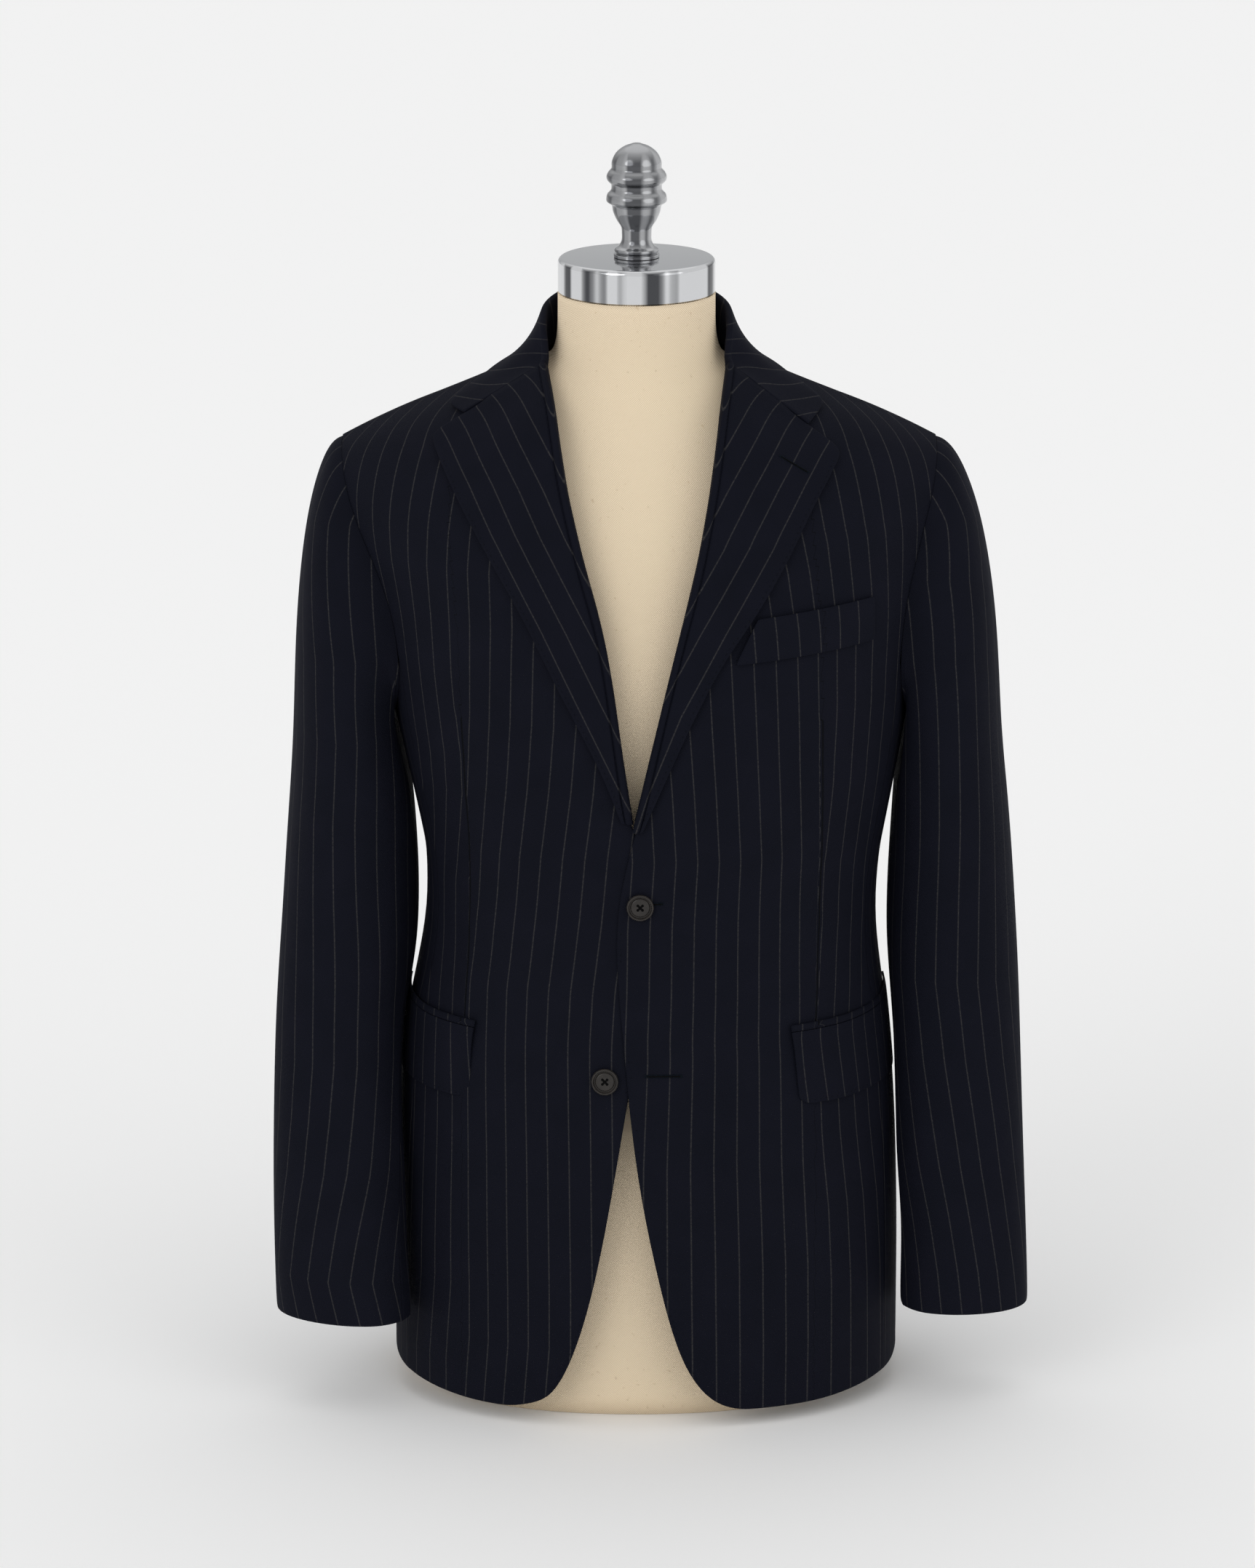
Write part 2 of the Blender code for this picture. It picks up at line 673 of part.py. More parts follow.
def lapel_shares(width, columns):
    """Places across a lapel, from just past the roll to the free edge."""
    start = np.minimum((ROLL_RADIUS + 1.0) / width, 0.6)
    return start + (1 - start) * (columns - LAPEL_COLUMNS[0]) / (1 - LAPEL_COLUMNS[0])


def on_edge(front, heights):
    """Points of a front's own edge at these heights."""
    edge = front[:, 0]
    return np.stack([np.interp(heights, edge[:, 2], edge[:, k]) for k in range(3)], -1)


def add_lapel(side, front):
    """A lapel: it rolls over the front's edge and lies on the chest."""
    rows = np.linspace(0, 1, LAPEL_ROWS)
    roll_line, free_line = lapel_edges(side, rows)
    puff = mix(*LAPEL_PUFF, rows)
    dip = overlap_dip(roll_line[:, 0], roll_line[:, 1]) if side == RIGHT else np.zeros(len(rows))
    _, up = JACKET.on_front(roll_line[:, 0], roll_line[:, 1])
    seam = on_edge(front, roll_line[:, 1]) - up * (1.0 + dip[:, None])
    fold, _ = JACKET.on_front(roll_line[:, 0], roll_line[:, 1], TURNED_WALL + LAPEL_GAP + puff - dip)
    target, _ = JACKET.on_front(free_line[:, 0], free_line[:, 1])
    out = target - seam
    out = unit(out - up * np.sum(out * up, axis=1, keepdims=True))
    width = np.linalg.norm(target - seam, axis=1)
    fall, normals = [], []
    for c in LAPEL_COLUMNS:
        share = lapel_shares(width, c)
        along = mix(roll_line, free_line, share[:, None])
        point, normal = JACKET.on_front(along[:, 0], along[:, 1], lapel_lift(share, puff) - dip)
        fall.append(point)
        normals.append(normal)
    add_turned_wall("lapel_" + SIDE_NAMES[side], seam, fold, out, up, fall, normals)


def neckline(front, back, stations):
    """The body's neckline, from the nape round to the gorge, at the collar's stations."""
    behind = back[-1, :NECK_COLUMNS]
    before = front[:, 0][front[:, 0, 2] >= GORGE[1] - 0.5][::-1]
    points = []
    for s in stations:
        on_back = s <= COLLAR_SIDE
        line = behind if on_back else before
        share = s / COLLAR_SIDE if on_back else (s - COLLAR_SIDE) / (1 - COLLAR_SIDE)
        run = np.concatenate([[0], np.cumsum(np.linalg.norm(np.diff(line, axis=0), axis=1))])
        points.append([np.interp(share * run[-1], run, line[:, k]) for k in range(3)])
    return np.array(points)


def collar_half(side, front, back):
    """Seam, fold, directions and fall of half a collar, from the nape to the gorge."""
    s = np.append(COLLAR_STATIONS, 1.0)
    seam = neckline(front, back, s) - np.array([0, 0, 1.0])
    fold = np.stack([side * COLLAR.fold_x(s), COLLAR.fold_y(s), COLLAR.fold_z(s)], -1)
    plan_edge = np.stack([side * COLLAR.edge_x(s), COLLAR.edge_y(s)], -1)
    plan_control = mix(fold[:, :2], plan_edge, COLLAR_CONTROL)
    edge, edge_normal = JACKET.under(plan_edge[:, 0], plan_edge[:, 1])
    control, control_normal = JACKET.under(plan_control[:, 0], plan_control[:, 1])
    edge = edge + edge_normal * COLLAR_LIFT
    control = control + control_normal * (COLLAR_LIFT + 0.8)

    gorge, tip = np.array([side * GORGE[0], GORGE[1]]), np.array(LAPEL_TIP[side])
    tip[0] *= side
    puff = LAPEL_PUFF[1]
    _, end_up = JACKET.on_front(gorge[0], gorge[1])
    seam[-1] = on_edge(front, gorge[1]) - end_up
    fold[-1], _ = JACKET.on_front(gorge[0], gorge[1], TURNED_WALL + LAPEL_GAP + puff)
    end_out = JACKET.on_front(tip[0], tip[1])[0] - seam[-1]
    width = np.linalg.norm(end_out)
    shares = lapel_shares(width, mix(LAPEL_COLUMNS[0], 1.0, COLLAR_COLUMNS * NOTCH_FRACTION))
    along = mix(gorge, tip, shares[:, None])
    gorge_row, gorge_normals = JACKET.on_front(along[:, 0], along[:, 1], lapel_lift(shares, puff))
    edge[-1] = gorge_row[-1]

    tilt = ease((s - 0.7) / 0.3)[:, None]
    up = unit(mix(np.array([0, 0, 1.0]), end_up, tilt))
    out = edge - fold
    out[-1] = end_out
    out = unit(out - up * np.sum(out * up, axis=1, keepdims=True))
    start = fold + ROLL_RADIUS * (out - up)
    fall = []
    for c, place in zip(COLLAR_COLUMNS, gorge_row):
        row = (1 - c) ** 2 * start + 2 * c * (1 - c) * control + c * c * edge
        row[-1] = place
        fall.append(row)
    normals = grid_normals(np.stack([start, *fall], axis=1), closed=False)
    normals *= np.sign(np.sum(normals[:, 1] * out))
    normals[-1, 1:] = gorge_normals
    return seam, fold, out, up, fall, list(np.moveaxis(normals[:, 1:], 1, 0))


def add_collar(fronts, backs):
    """The collar: a stand from the neck seam, a fold, and a fall on the shoulders."""
    halves = [collar_half(side, fronts[side], backs[side]) for side in (RIGHT, LEFT)]

    def joined(k):
        return np.concatenate([halves[0][k][::-1], halves[1][k][1:]])

    fall, normals = ([np.concatenate([a[::-1], b[1:]]) for a, b in zip(halves[0][k], halves[1][k])]
                     for k in (4, 5))
    lines = [joined(k) for k in range(4)]
    add_turned_wall("collar", *lines, fall, normals)


def add_patch(name, angles, heights):
    """A piece that lies on a body panel: the same surface, moved out."""
    normals = JACKET.normal(angles, heights)
    inner = JACKET(angles, heights) + normals * POCKET_GAP
    add_wall(name, inner + normals * POCKET_WALL, inner)


def add_flap_pocket(side):
    """A flap with its jet, from its front corner round to the side panel."""
    front_top = JACKET.angle_at(side * FLAP_FRONT_X[side], FLAP_TOP)
    front_foot = JACKET.angle_at(side * (FLAP_FRONT_X[side] + FLAP_SLANT), FLAP_TOP - FLAP_HEIGHT)
    rear = side * math.radians(FLAP_REAR_ANGLE)
    across = np.array([0, 0.04, 0.1, 0.19, 0.28, 0.37, 0.46, 0.55, 0.64, 0.73, 0.82, 0.91, 1.0])
    down = np.array([0, 0.35, 0.7, 0.9, 1.0])
    start = mix(front_top, front_foot, down)[:, None]
    angles = mix(start, rear, across)
    corner = FLAP_CORNER * np.clip(1 - across / 0.1, 0, 1) ** 2
    heights = FLAP_TOP - np.outer(down, FLAP_HEIGHT - corner)
    add_patch("flap_" + SIDE_NAMES[side], angles, heights)
    jet_angles = np.tile(mix(front_top, rear, across), (2, 1))
    jet_heights = np.array([[FLAP_TOP + 0.4], [FLAP_TOP + 0.4 + JET_HEIGHT]]) + np.zeros(len(across))
    add_patch("jet_" + SIDE_NAMES[side], jet_angles, jet_heights)


def add_welt():
    """The breast pocket's welt, on the wearer's left."""
    across = np.linspace(0, 1, 9)[None, :, None]
    up = np.linspace(0, 1, 3)[:, None, None]
    foot = mix(np.array(WELT_FOOT[0]), np.array(WELT_FOOT[1]), across)
    top = mix(np.array(WELT_TOP[0]), np.array(WELT_TOP[1]), across)
    places = mix(foot, top, up)
    angles = JACKET.angle_at(places[..., 0], places[..., 1])
    add_patch("breast_welt", angles, places[..., 1])


def add_lathe(name, finish_name, profile, segments):
    """A turned solid from (radius, height) pairs, bottom to top, closed at both ends."""
    points = []
    for radius, height in profile:
        for k in range(segments):
            a = 2 * math.pi * k / segments
            points.append((radius * math.cos(a), radius * math.sin(a), height))
    faces = [list(range(segments)), [len(points) - segments + k for k in range(segments)]]
    for i in range(len(profile) - 1):
        for k in range(segments):
            a, b = i * segments + k, i * segments + (k + 1) % segments
            faces.append([a, b, b + segments, a + segments])
    return add_object(name, finish_name, points, faces)


def add_button(name, place, lift):
    """A four-hole button with a raised rim, lying on the cloth at one place."""
    r = BUTTON_RADIUS
    profile = [(r - 2, 0), (r - 0.3, 1.0), (r, 2.2), (r - 0.8, 3.3), (r - 1.9, 3.4), (r - 3.2, 2.5)]
    button = add_lathe(name, "horn", profile, 24)
    hole_profile = [(BUTTON_HOLE_RADIUS, -1), (BUTTON_HOLE_RADIUS, 5)]
    for k in range(4):
        hole = add_lathe("hole", "horn", hole_profile, 8)
        a = math.radians(45 + 90 * k)
        offset = Vector((math.cos(a), math.sin(a), 0)) * BUTTON_HOLE_PITCH * math.sqrt(2) * MM
        hole.data.transform(Matrix.Translation(offset))
        cut = button.modifiers.new("hole", "BOOLEAN")
        cut.operation = "DIFFERENCE"
        cut.object = hole
        bpy.context.view_layer.update()
        drilled = bpy.data.meshes.new_from_object(button.evaluated_get(bpy.context.evaluated_depsgraph_get()))
        button.modifiers.clear()
        button.data = drilled
        bpy.data.objects.remove(hole)
    point, normal = JACKET.on_front(place[0], place[1], lift + LAYER_GAP + 0.4)
    turn = Vector((0, 0, 1)).rotation_difference(Vector(normal)).to_matrix().to_4x4()
    button.data.transform(Matrix.Translation(Vector(point) * MM) @ turn)


def add_form():
    """The torso of the dress form, from the flat top of its neck to its flat base."""
    rows = [(NECK_RADIUS, NECK_TOP, NECK_RADIUS, NECK_TOP, NECK_RADIUS, NECK_TOP), *FORM_SHOULDERS]
    rows += [(w, z, f, z, b, z) for z, w, f, b in FORM_LEVELS]
    around = 2 * math.pi * np.arange(FORM_SEGMENTS) / FORM_SEGMENTS
    sin, cos = np.sin(around), np.cos(around)
    points = []
    for half_width, side_z, front, front_z, back, back_z in rows:
        power = mix(2 / FORM_POWER, 1.0, ease((side_z - ARM_LEVEL) / 60))
        depth = np.where(cos > 0, front, back)
        end_z = np.where(cos > 0, front_z, back_z)
        x = half_width * np.sign(sin) * np.abs(sin) ** power
        y = -depth * np.sign(cos) * np.abs(cos) ** power
        lean = ease((half_width - NECK_RADIUS) / 40) * ease((side_z - ARM_LEVEL) / 100)
        z = mix(end_z, side_z, sin**2)
        x = x + SECTIONS.sway(z) * ease((z - 600) / 100)
        points.append(np.stack([x, y + SHOULDER_Y * lean * sin**2, z], -1))
    points = np.array(points)
    count = FORM_SEGMENTS
    faces = [list(range(count)), list(range((len(rows) - 1) * count, len(rows) * count))]
    for i in range(len(rows) - 1):
        for k in range(count):
            a, b = i * count + k, i * count + (k + 1) % count
            faces.append([a, b, b + count, a + count])
    add_object("form_torso", "linen", points.reshape(-1, 3), faces)


def add_cap_and_finial():
    """The metal neck cap and the turned finial on it."""
    base = NECK_TOP + SEAT_GAP
    top = base + CAP_HEIGHT
    r, e = CAP_RADIUS, CAP_EDGE
    cap = [(r - 0.8, base), (r, base + 0.8), (r, top - e), (r - 0.3 * e, top - 0.3 * e), (r - e, top)]
    add_lathe("neck_cap", "chrome", cap, 48)
    finial = [(radius, top + SEAT_GAP + height) for height, radius in FINIAL]
    add_lathe("finial", "chrome", finial, 18)


def stand_on_origin():
    """Move every mesh so that the origin is under the middle of the whole."""
    parts = [part for part in bpy.data.objects if part.type == "MESH"]
    points = np.array([v.co for part in parts for v in part.data.vertices])
    low, high = points.min(axis=0), points.max(axis=0)
    shift = Vector((-(low[0] + high[0]) / 2, -(low[1] + high[1]) / 2, -low[2]))
    for part in parts:
        part.data.transform(Matrix.Translation(shift))


def build():
    for old in list(bpy.data.objects):
        bpy.data.objects.remove(old)
    fronts, backs = {}, {}
    for side in (LEFT, RIGHT):
        fronts[side], backs[side] = front_panel(side), back_panel(side)
        add_sleeve(side, *armhole(fronts[side], side_panel(side), backs[side]))
        add_lapel(side, fronts[side])
        add_flap_pocket(side)
    add_collar(fronts, backs)
    add_welt()
    add_button("button_top", TOP_BUTTON, 0.0)
    add_button("button_lower", LOWER_BUTTON, -float(overlap_dip(*LOWER_BUTTON)))
    add_form()
    add_cap_and_finial()
    stand_on_origin()


build()
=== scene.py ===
# %% [markdown]
# # A chalk stripe jacket on a dress form
# The imported CAD model gives every wall of cloth its place and its thickness. This notebook dresses
# it: each panel becomes smooth cloth whose stripe follows its own grain, and the form, the buttons
# and the metal get the shapes and finishes of the real ones. Loading comes first, and the box of the
# CAD model is printed.

import json
import math

import bmesh
import bpy
import numpy as np
from mathutils import Matrix, Vector
from mathutils.bvhtree import BVHTree
from mathutils.kdtree import KDTree

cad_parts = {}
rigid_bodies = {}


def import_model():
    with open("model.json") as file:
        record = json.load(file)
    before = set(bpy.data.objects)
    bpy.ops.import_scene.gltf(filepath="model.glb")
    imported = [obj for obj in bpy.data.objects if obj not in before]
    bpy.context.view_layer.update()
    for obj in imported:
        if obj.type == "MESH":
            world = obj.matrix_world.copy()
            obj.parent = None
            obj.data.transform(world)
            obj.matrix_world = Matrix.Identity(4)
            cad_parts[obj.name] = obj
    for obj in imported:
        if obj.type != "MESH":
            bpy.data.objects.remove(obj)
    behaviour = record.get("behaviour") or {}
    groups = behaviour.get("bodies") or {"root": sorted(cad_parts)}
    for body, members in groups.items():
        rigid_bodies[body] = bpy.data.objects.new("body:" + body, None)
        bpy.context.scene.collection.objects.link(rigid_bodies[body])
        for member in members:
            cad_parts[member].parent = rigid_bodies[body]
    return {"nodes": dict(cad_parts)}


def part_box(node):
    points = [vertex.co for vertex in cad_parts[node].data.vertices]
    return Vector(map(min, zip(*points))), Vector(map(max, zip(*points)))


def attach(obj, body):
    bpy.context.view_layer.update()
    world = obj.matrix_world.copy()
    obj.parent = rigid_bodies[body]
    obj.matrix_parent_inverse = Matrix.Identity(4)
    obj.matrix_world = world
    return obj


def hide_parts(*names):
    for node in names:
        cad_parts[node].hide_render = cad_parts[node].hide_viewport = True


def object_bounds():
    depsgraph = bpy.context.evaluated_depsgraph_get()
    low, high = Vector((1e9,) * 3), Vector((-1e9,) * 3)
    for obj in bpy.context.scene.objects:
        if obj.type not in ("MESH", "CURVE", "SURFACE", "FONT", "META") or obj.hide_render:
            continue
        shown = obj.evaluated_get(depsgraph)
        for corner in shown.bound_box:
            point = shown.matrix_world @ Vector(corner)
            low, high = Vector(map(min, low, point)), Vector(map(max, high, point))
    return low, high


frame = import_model()
cad_low, cad_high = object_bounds()
MM = 0.001
print("CAD box in mm:", [round(x / MM, 1) for x in (*cad_low, *cad_high)])

# %% [markdown]
# ## The camera, the light and the floor
# A tailor's studio photographs a jacket from some metres away with a long lens, a little above the
# chest and looking down, so that its lines stay straight. The light is a pale room all round and
# three weak lamps with very soft shadows, which keep dark wool readable. The wall behind the part is
# darker, so that the metal has edges to show. The view transform is the plain one, so that a pale room
# and a very dark wool keep their own tones. The floor is a large disc in the colour of the room, so
# that it fills the view with no horizon.

# %% Camera
cap_low, cap_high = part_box("neck_cap")
AXIS = (cap_low + cap_high) / 2
CAMERA_DISTANCE = 5.0
CAMERA_HEIGHT = 1.8
CAMERA_SIDE = -0.0066
CAMERA_PITCH = 15.09
FOCAL_LENGTH = 160.6

camera_data = bpy.data.cameras.new("camera")
camera_data.lens = FOCAL_LENGTH
camera_data.clip_end = 60
camera = bpy.data.objects.new("camera", camera_data)
camera.location = (AXIS.x + CAMERA_SIDE, AXIS.y - CAMERA_DISTANCE, CAMERA_HEIGHT)
camera.rotation_euler = (math.radians(90 - CAMERA_PITCH), 0, 0)
bpy.context.scene.collection.objects.link(camera)
bpy.context.scene.camera = camera
print("camera at", [round(x, 3) for x in camera.location])


# %% Helpers for colours, nodes and objects
def linear(hex_colour):
    """An sRGB hex colour as linear red, green, blue and alpha."""
    values = [int(hex_colour[i : i + 2], 16) / 255 for i in (1, 3, 5)]
    return (*[v / 12.92 if v <= 0.04045 else ((v + 0.055) / 1.055) ** 2.4 for v in values], 1.0)


def add_node(tree, kind, inputs=None, **settings):
    """One node with its settings; each input is a value or the socket that feeds it."""
    node = tree.nodes.new(kind)
    for name, value in settings.items():
        setattr(node, name, value)
    for socket, value in (inputs or {}).items():
        if isinstance(value, bpy.types.NodeSocket):
            tree.links.new(value, node.inputs[socket])
        else:
            node.inputs[socket].default_value = value
    return node


def new_material(name, **values):
    """A material with a Principled shader, whose plain values are set on its own sockets."""
    material = bpy.data.materials.new(name)
    material.use_nodes = True
    shader = material.node_tree.nodes["Principled BSDF"]
    for socket, value in values.items():
        shader.inputs[socket.replace("_", " ")].default_value = value
    return material, material.node_tree, shader


def mixed(tree, factor, first, second):
    """A colour between two others; a mix node's colours are its inputs 6 and 7 and its output 2."""
    mix = add_node(tree, "ShaderNodeMix", {"Factor": factor, 6: first, 7: second}, data_type="RGBA")
    return mix.outputs[2]


def ranged(tree, value, low, high, to_low=0.0, to_high=1.0):
    """A value moved from one range to another."""
    ends = {"From Min": low, "From Max": high, "To Min": to_low, "To Max": to_high}
    return add_node(tree, "ShaderNodeMapRange", {"Value": value, **ends}).outputs[0]


def maths(tree, operation, *values):
    """One step of arithmetic on numbers or sockets."""
    return add_node(tree, "ShaderNodeMath", dict(enumerate(values)), operation=operation).outputs[0]


def noise(tree, place, scale, detail, roughness=0.5):
    """The value of a noise texture."""
    inputs = {"Vector": place, "Scale": scale, "Detail": detail, "Roughness": roughness}
    return add_node(tree, "ShaderNodeTexNoise", inputs).outputs["Fac"]


def vectors(tree, operation, *values):
    """One step of arithmetic on vectors."""
    inputs = dict(enumerate(values))
    return add_node(tree, "ShaderNodeVectorMath", inputs, operation=operation).outputs[0]


def new_object(name, mesh, material=None):
    """A linked object at the origin."""
    piece = bpy.data.objects.new(name, mesh)
    bpy.context.scene.collection.objects.link(piece)
    if material:
        piece.data.materials.clear()
        piece.data.materials.append(material)
    return piece


# %% Floor and light
FLOOR_RADIUS = 22.0
FLOOR_GAP = 0.0004  # the floor lies this much under the part, so that no faces share a plane
ROOM_STRENGTH = 0.905
floor_bm = bmesh.new()
bmesh.ops.create_circle(floor_bm, cap_ends=True, segments=96, radius=FLOOR_RADIUS)
floor_mesh = bpy.data.meshes.new("floor")
floor_bm.to_mesh(floor_mesh)
floor_bm.free()
floor_material, _, _ = new_material("matt white paper", Base_Color=linear("#FEFEFE"), Roughness=0.95)
floor = new_object("floor", floor_mesh, floor_material)
floor.location.z = cad_low.z - FLOOR_GAP

world = bpy.data.worlds.new("studio room")
world.use_nodes = True
room = world.node_tree
seen_along = add_node(room, "ShaderNodeTexCoord")
toward = add_node(room, "ShaderNodeSeparateXYZ", {0: seen_along.outputs["Generated"]})
behind = ranged(room, toward.outputs["Y"], 0.72, 0.9)
walls = mixed(room, behind, linear("#F1F1F1"), linear("#C4C5C6"))
room.links.new(walls, room.nodes["Background"].inputs["Color"])
room.nodes["Background"].inputs["Strength"].default_value = ROOM_STRENGTH
bpy.context.scene.world = world
bpy.context.scene.view_settings.view_transform = "Standard"

LIGHTS = {  # direction that it shines from, softness in degrees, strength
    "key": ((-0.75, -1.0, 0.55), 35, 0.5),
    "fill": ((0.9, -0.8, 0.35), 45, 0.28),
    "top": ((0.0, 0.5, 1.0), 60, 0.1),
}
for name, (direction, softness, strength) in LIGHTS.items():
    light_data = bpy.data.lights.new(name, "SUN")
    light_data.angle = math.radians(softness)
    light_data.energy = strength
    light = bpy.data.objects.new(name, light_data)
    light.rotation_euler = Vector(direction).to_track_quat("Z", "Y").to_euler()
    bpy.context.scene.collection.objects.link(light)
print(len(LIGHTS), "lights")

# %% [markdown]
# ## How the stripe runs
# The stripe is woven along the cloth, so on a panel it keeps its distance from the panel's straight
# grain, and it bends in view as the panel bends. On a body panel that distance is the length of cloth
# round the body at one height. The jacket's level sections, repeated here from the part's source, give
# that length: it is summed round each level and kept in a table by height and by direction.

# %% Level sections of the jacket
SECTION_ROWS = np.array(
    [  # height, half width, front, back, how far it hangs to one side, in mm
        (0, 189, 148, 140, 7.2),
        (100, 189, 147, 138, 7.4),
        (200, 186.5, 143, 130, 7.6),
        (293, 178.5, 139, 118, 8.0),
        (327, 169.8, 137, 112, 9.8),
        (375, 165.3, 135, 108, 11.3),
        (428, 171.7, 136, 111, 12.6),
        (500, 187, 139, 119, 11.0),
        (560, 194, 140, 125, 9.5),
        (600, 194, 140, 125, 8.5),
        (642, 194, 140, 125, 4.8),
        (668, 194, 140, 125, 2.6),
        (714, 194, 140, 125, 2.0),
        (790, 194, 140, 125, 0.0),
    ]
)
SHOULDER_ROWS = np.array(
    [(0, 796), (40, 789), (70, 778), (88, 770), (126, 754), (168, 738), (202, 722), (217, 714), (231, 705)]
)
ARM_LEVEL, SHOULDER_REACH, SHOULDER_DEPTH = 560.0, 231.0, 12.0
NECK_HALF_WIDTH, NECK_HEIGHT, NECK_RISE, NECK_DEPTH = 70.0, 778.0, 8.0, 50.0
FRONT_POWER, BACK_POWER, REACH_POWER = 2.4, 2.2, 1.15  # 2 is round, and more is squarer


def ease(x):
    """0 below 0, 1 above 1, and a soft step between."""
    x = np.clip(x, 0.0, 1.0)
    return x * x * (3 - 2 * x)


def body_sections(angles, heights):
    """Half of the jacket's outer surface, from the centre front round to the centre back."""
    q, front = np.sin(angles), np.cos(angles) >= 0
    level = np.minimum(heights, ARM_LEVEL)
    half_width, front_depth, back_depth = (
        np.interp(level, SECTION_ROWS[:, 0], SECTION_ROWS[:, k]) for k in (1, 2, 3)
    )
    fullness = (1 - np.clip(q, 0, 1) ** FRONT_POWER) ** (1 / FRONT_POWER)
    depth = np.where(front, -front_depth, back_depth) * fullness
    inner = np.clip(1 - (SHOULDER_REACH * q / NECK_HALF_WIDTH) ** 2, 0, 1)
    top = np.interp(SHOULDER_REACH * q, SHOULDER_ROWS[:, 0], SHOULDER_ROWS[:, 1])
    top = np.where(~front & (inner > 0), NECK_HEIGHT + NECK_RISE * inner, top)
    ridge = SHOULDER_DEPTH + np.where(front, 0, NECK_DEPTH * np.sqrt(inner))
    t = np.clip((heights - ARM_LEVEL) / (top - ARM_LEVEL), 0, 1)
    power = np.where(front, FRONT_POWER, BACK_POWER)
    close = (1 - t**power) ** (1 / power)
    x = q * (half_width + (SHOULDER_REACH - half_width) * ease(t) ** REACH_POWER)
    y = np.where(t > 0, ridge + (depth - ridge) * close, depth)
    return x, y, np.minimum(heights, top)


# %% Lengths of cloth round and up the body
LEVEL_STEP = 5.0
LEVELS = np.arange(0.0, 796.0, LEVEL_STEP)
DIRECTIONS = np.radians(np.arange(0.0, 180.5, 1.0))
section_x, section_y, section_z = body_sections(*np.meshgrid(DIRECTIONS, LEVELS))


def summed(steps, axis):
    """Running total along one axis, starting from nothing."""
    shape = list(steps.shape)
    shape[axis] = 1
    return np.concatenate([np.zeros(shape), np.cumsum(steps, axis=axis)], axis=axis)


length_round = summed(np.hypot(np.diff(section_x, axis=1), np.diff(section_y, axis=1)), 1)
rise = [np.diff(a, axis=0) for a in (section_x, section_y, section_z)]
length_up = summed(np.sqrt(sum(a * a for a in rise)), 0)
NUDGES = np.arange(len(DIRECTIONS)) * 1e-9  # they keep equal directions in order
for k in range(len(LEVELS)):
    seen = np.maximum.accumulate(np.arctan2(section_x[k], -section_y[k])) + NUDGES
    length_round[k] = np.interp(DIRECTIONS, seen, length_round[k])
    length_up[k] = np.interp(DIRECTIONS, seen, length_up[k])
print("half round the chest:", round(float(length_round[110, -1])), "mm")


def looked_up(table, height, direction):
    """A value between the table's entries."""
    i = np.clip(height / LEVEL_STEP, 0, len(LEVELS) - 1.001)
    j = np.clip(np.degrees(direction), 0, 179.999)
    i0, j0 = i.astype(int), j.astype(int)
    a, b = i - i0, j - j0
    low = table[i0, j0] * (1 - b) + table[i0, j0 + 1] * b
    high = table[i0 + 1, j0] * (1 - b) + table[i0 + 1, j0 + 1] * b
    return low * (1 - a) + high * a


def body_grain(points, measure_from="front"):
    """Length of cloth round and up the body to each point, in mm."""
    x = points[:, 0] - np.interp(points[:, 2], SECTION_ROWS[:, 0], SECTION_ROWS[:, 4])
    direction = np.arctan2(np.abs(x), -points[:, 1])
    side = np.where(x < 0, -1.0, 1.0)
    across = looked_up(length_round, points[:, 2], direction)
    start = {"front": 0.0, "side": math.pi / 2, "back": math.pi}[measure_from]
    across = across - looked_up(length_round, points[:, 2], np.full(len(x), start))
    return side * across, looked_up(length_up, points[:, 2], direction)


# %% [markdown]
# ## Cloth from a CAD wall
# A CAD wall is flat between its points. A tailor's cloth is not, so a copy of each wall is merged, its
# triangles are joined back into faces of four sides, and a subdivision surface makes it flow. A small
# crease value on the edges of the wall keeps them crisp with a slight roundness, as a pressed edge is.
# Where two panels are sewn, their edges are drawn together. A hanging sleeve and a pocket also settle
# on the body, so their points are moved by a few millimetres.

# %% Points at which two panels are sewn together
SEAM_REACH = 0.0015  # edges that lie no farther apart than this, in metres, are sewn
SHOULDER_SEAM = (0.74, 0.005)  # above this height the panels are drawn together from farther away
FOLDED_REACH = 0.0025  # the same for the lapels and the collar
SEAM_PULL = 0.48  # each edge goes this share of the way, which leaves a hair between the panels
MAIN_PANELS = {"front", "side", "back", "sleeve"}
LAID_ON = {"flap", "jet", "breast"}
FOLDED = {"lapel", "collar"}
cloth_nodes = sorted(n for n in frame["nodes"] if n.split("_")[0] in MAIN_PANELS | LAID_ON | FOLDED)


def surface_tree(nodes):
    """A tree of the CAD surfaces of several nodes."""
    places, faces = [], []
    for other in nodes:
        mesh = frame["nodes"][other].data
        faces += [[len(places) + v for v in polygon.vertices] for polygon in mesh.polygons]
        places += [v.co.copy() for v in mesh.vertices]
    return BVHTree.FromPolygons(places, faces)


seam_surface = {}
for node in cloth_nodes:
    kinds = FOLDED | MAIN_PANELS if node.split("_")[0] in FOLDED else MAIN_PANELS
    others = [n for n in cloth_nodes if n != node and n.split("_")[0] in kinds]
    if node.split("_")[0] not in LAID_ON:
        seam_surface[node] = surface_tree(others)
print(len(cloth_nodes), "pieces of cloth")


def sewn_to(node, place):
    """The place on another panel that a point is sewn to, or None."""
    if node not in seam_surface:
        return None
    height, reach = SHOULDER_SEAM
    if node.split("_")[0] in FOLDED:
        reach = FOLDED_REACH
    return seam_surface[node].find_nearest(place, reach if place.z > height else SEAM_REACH)[0]


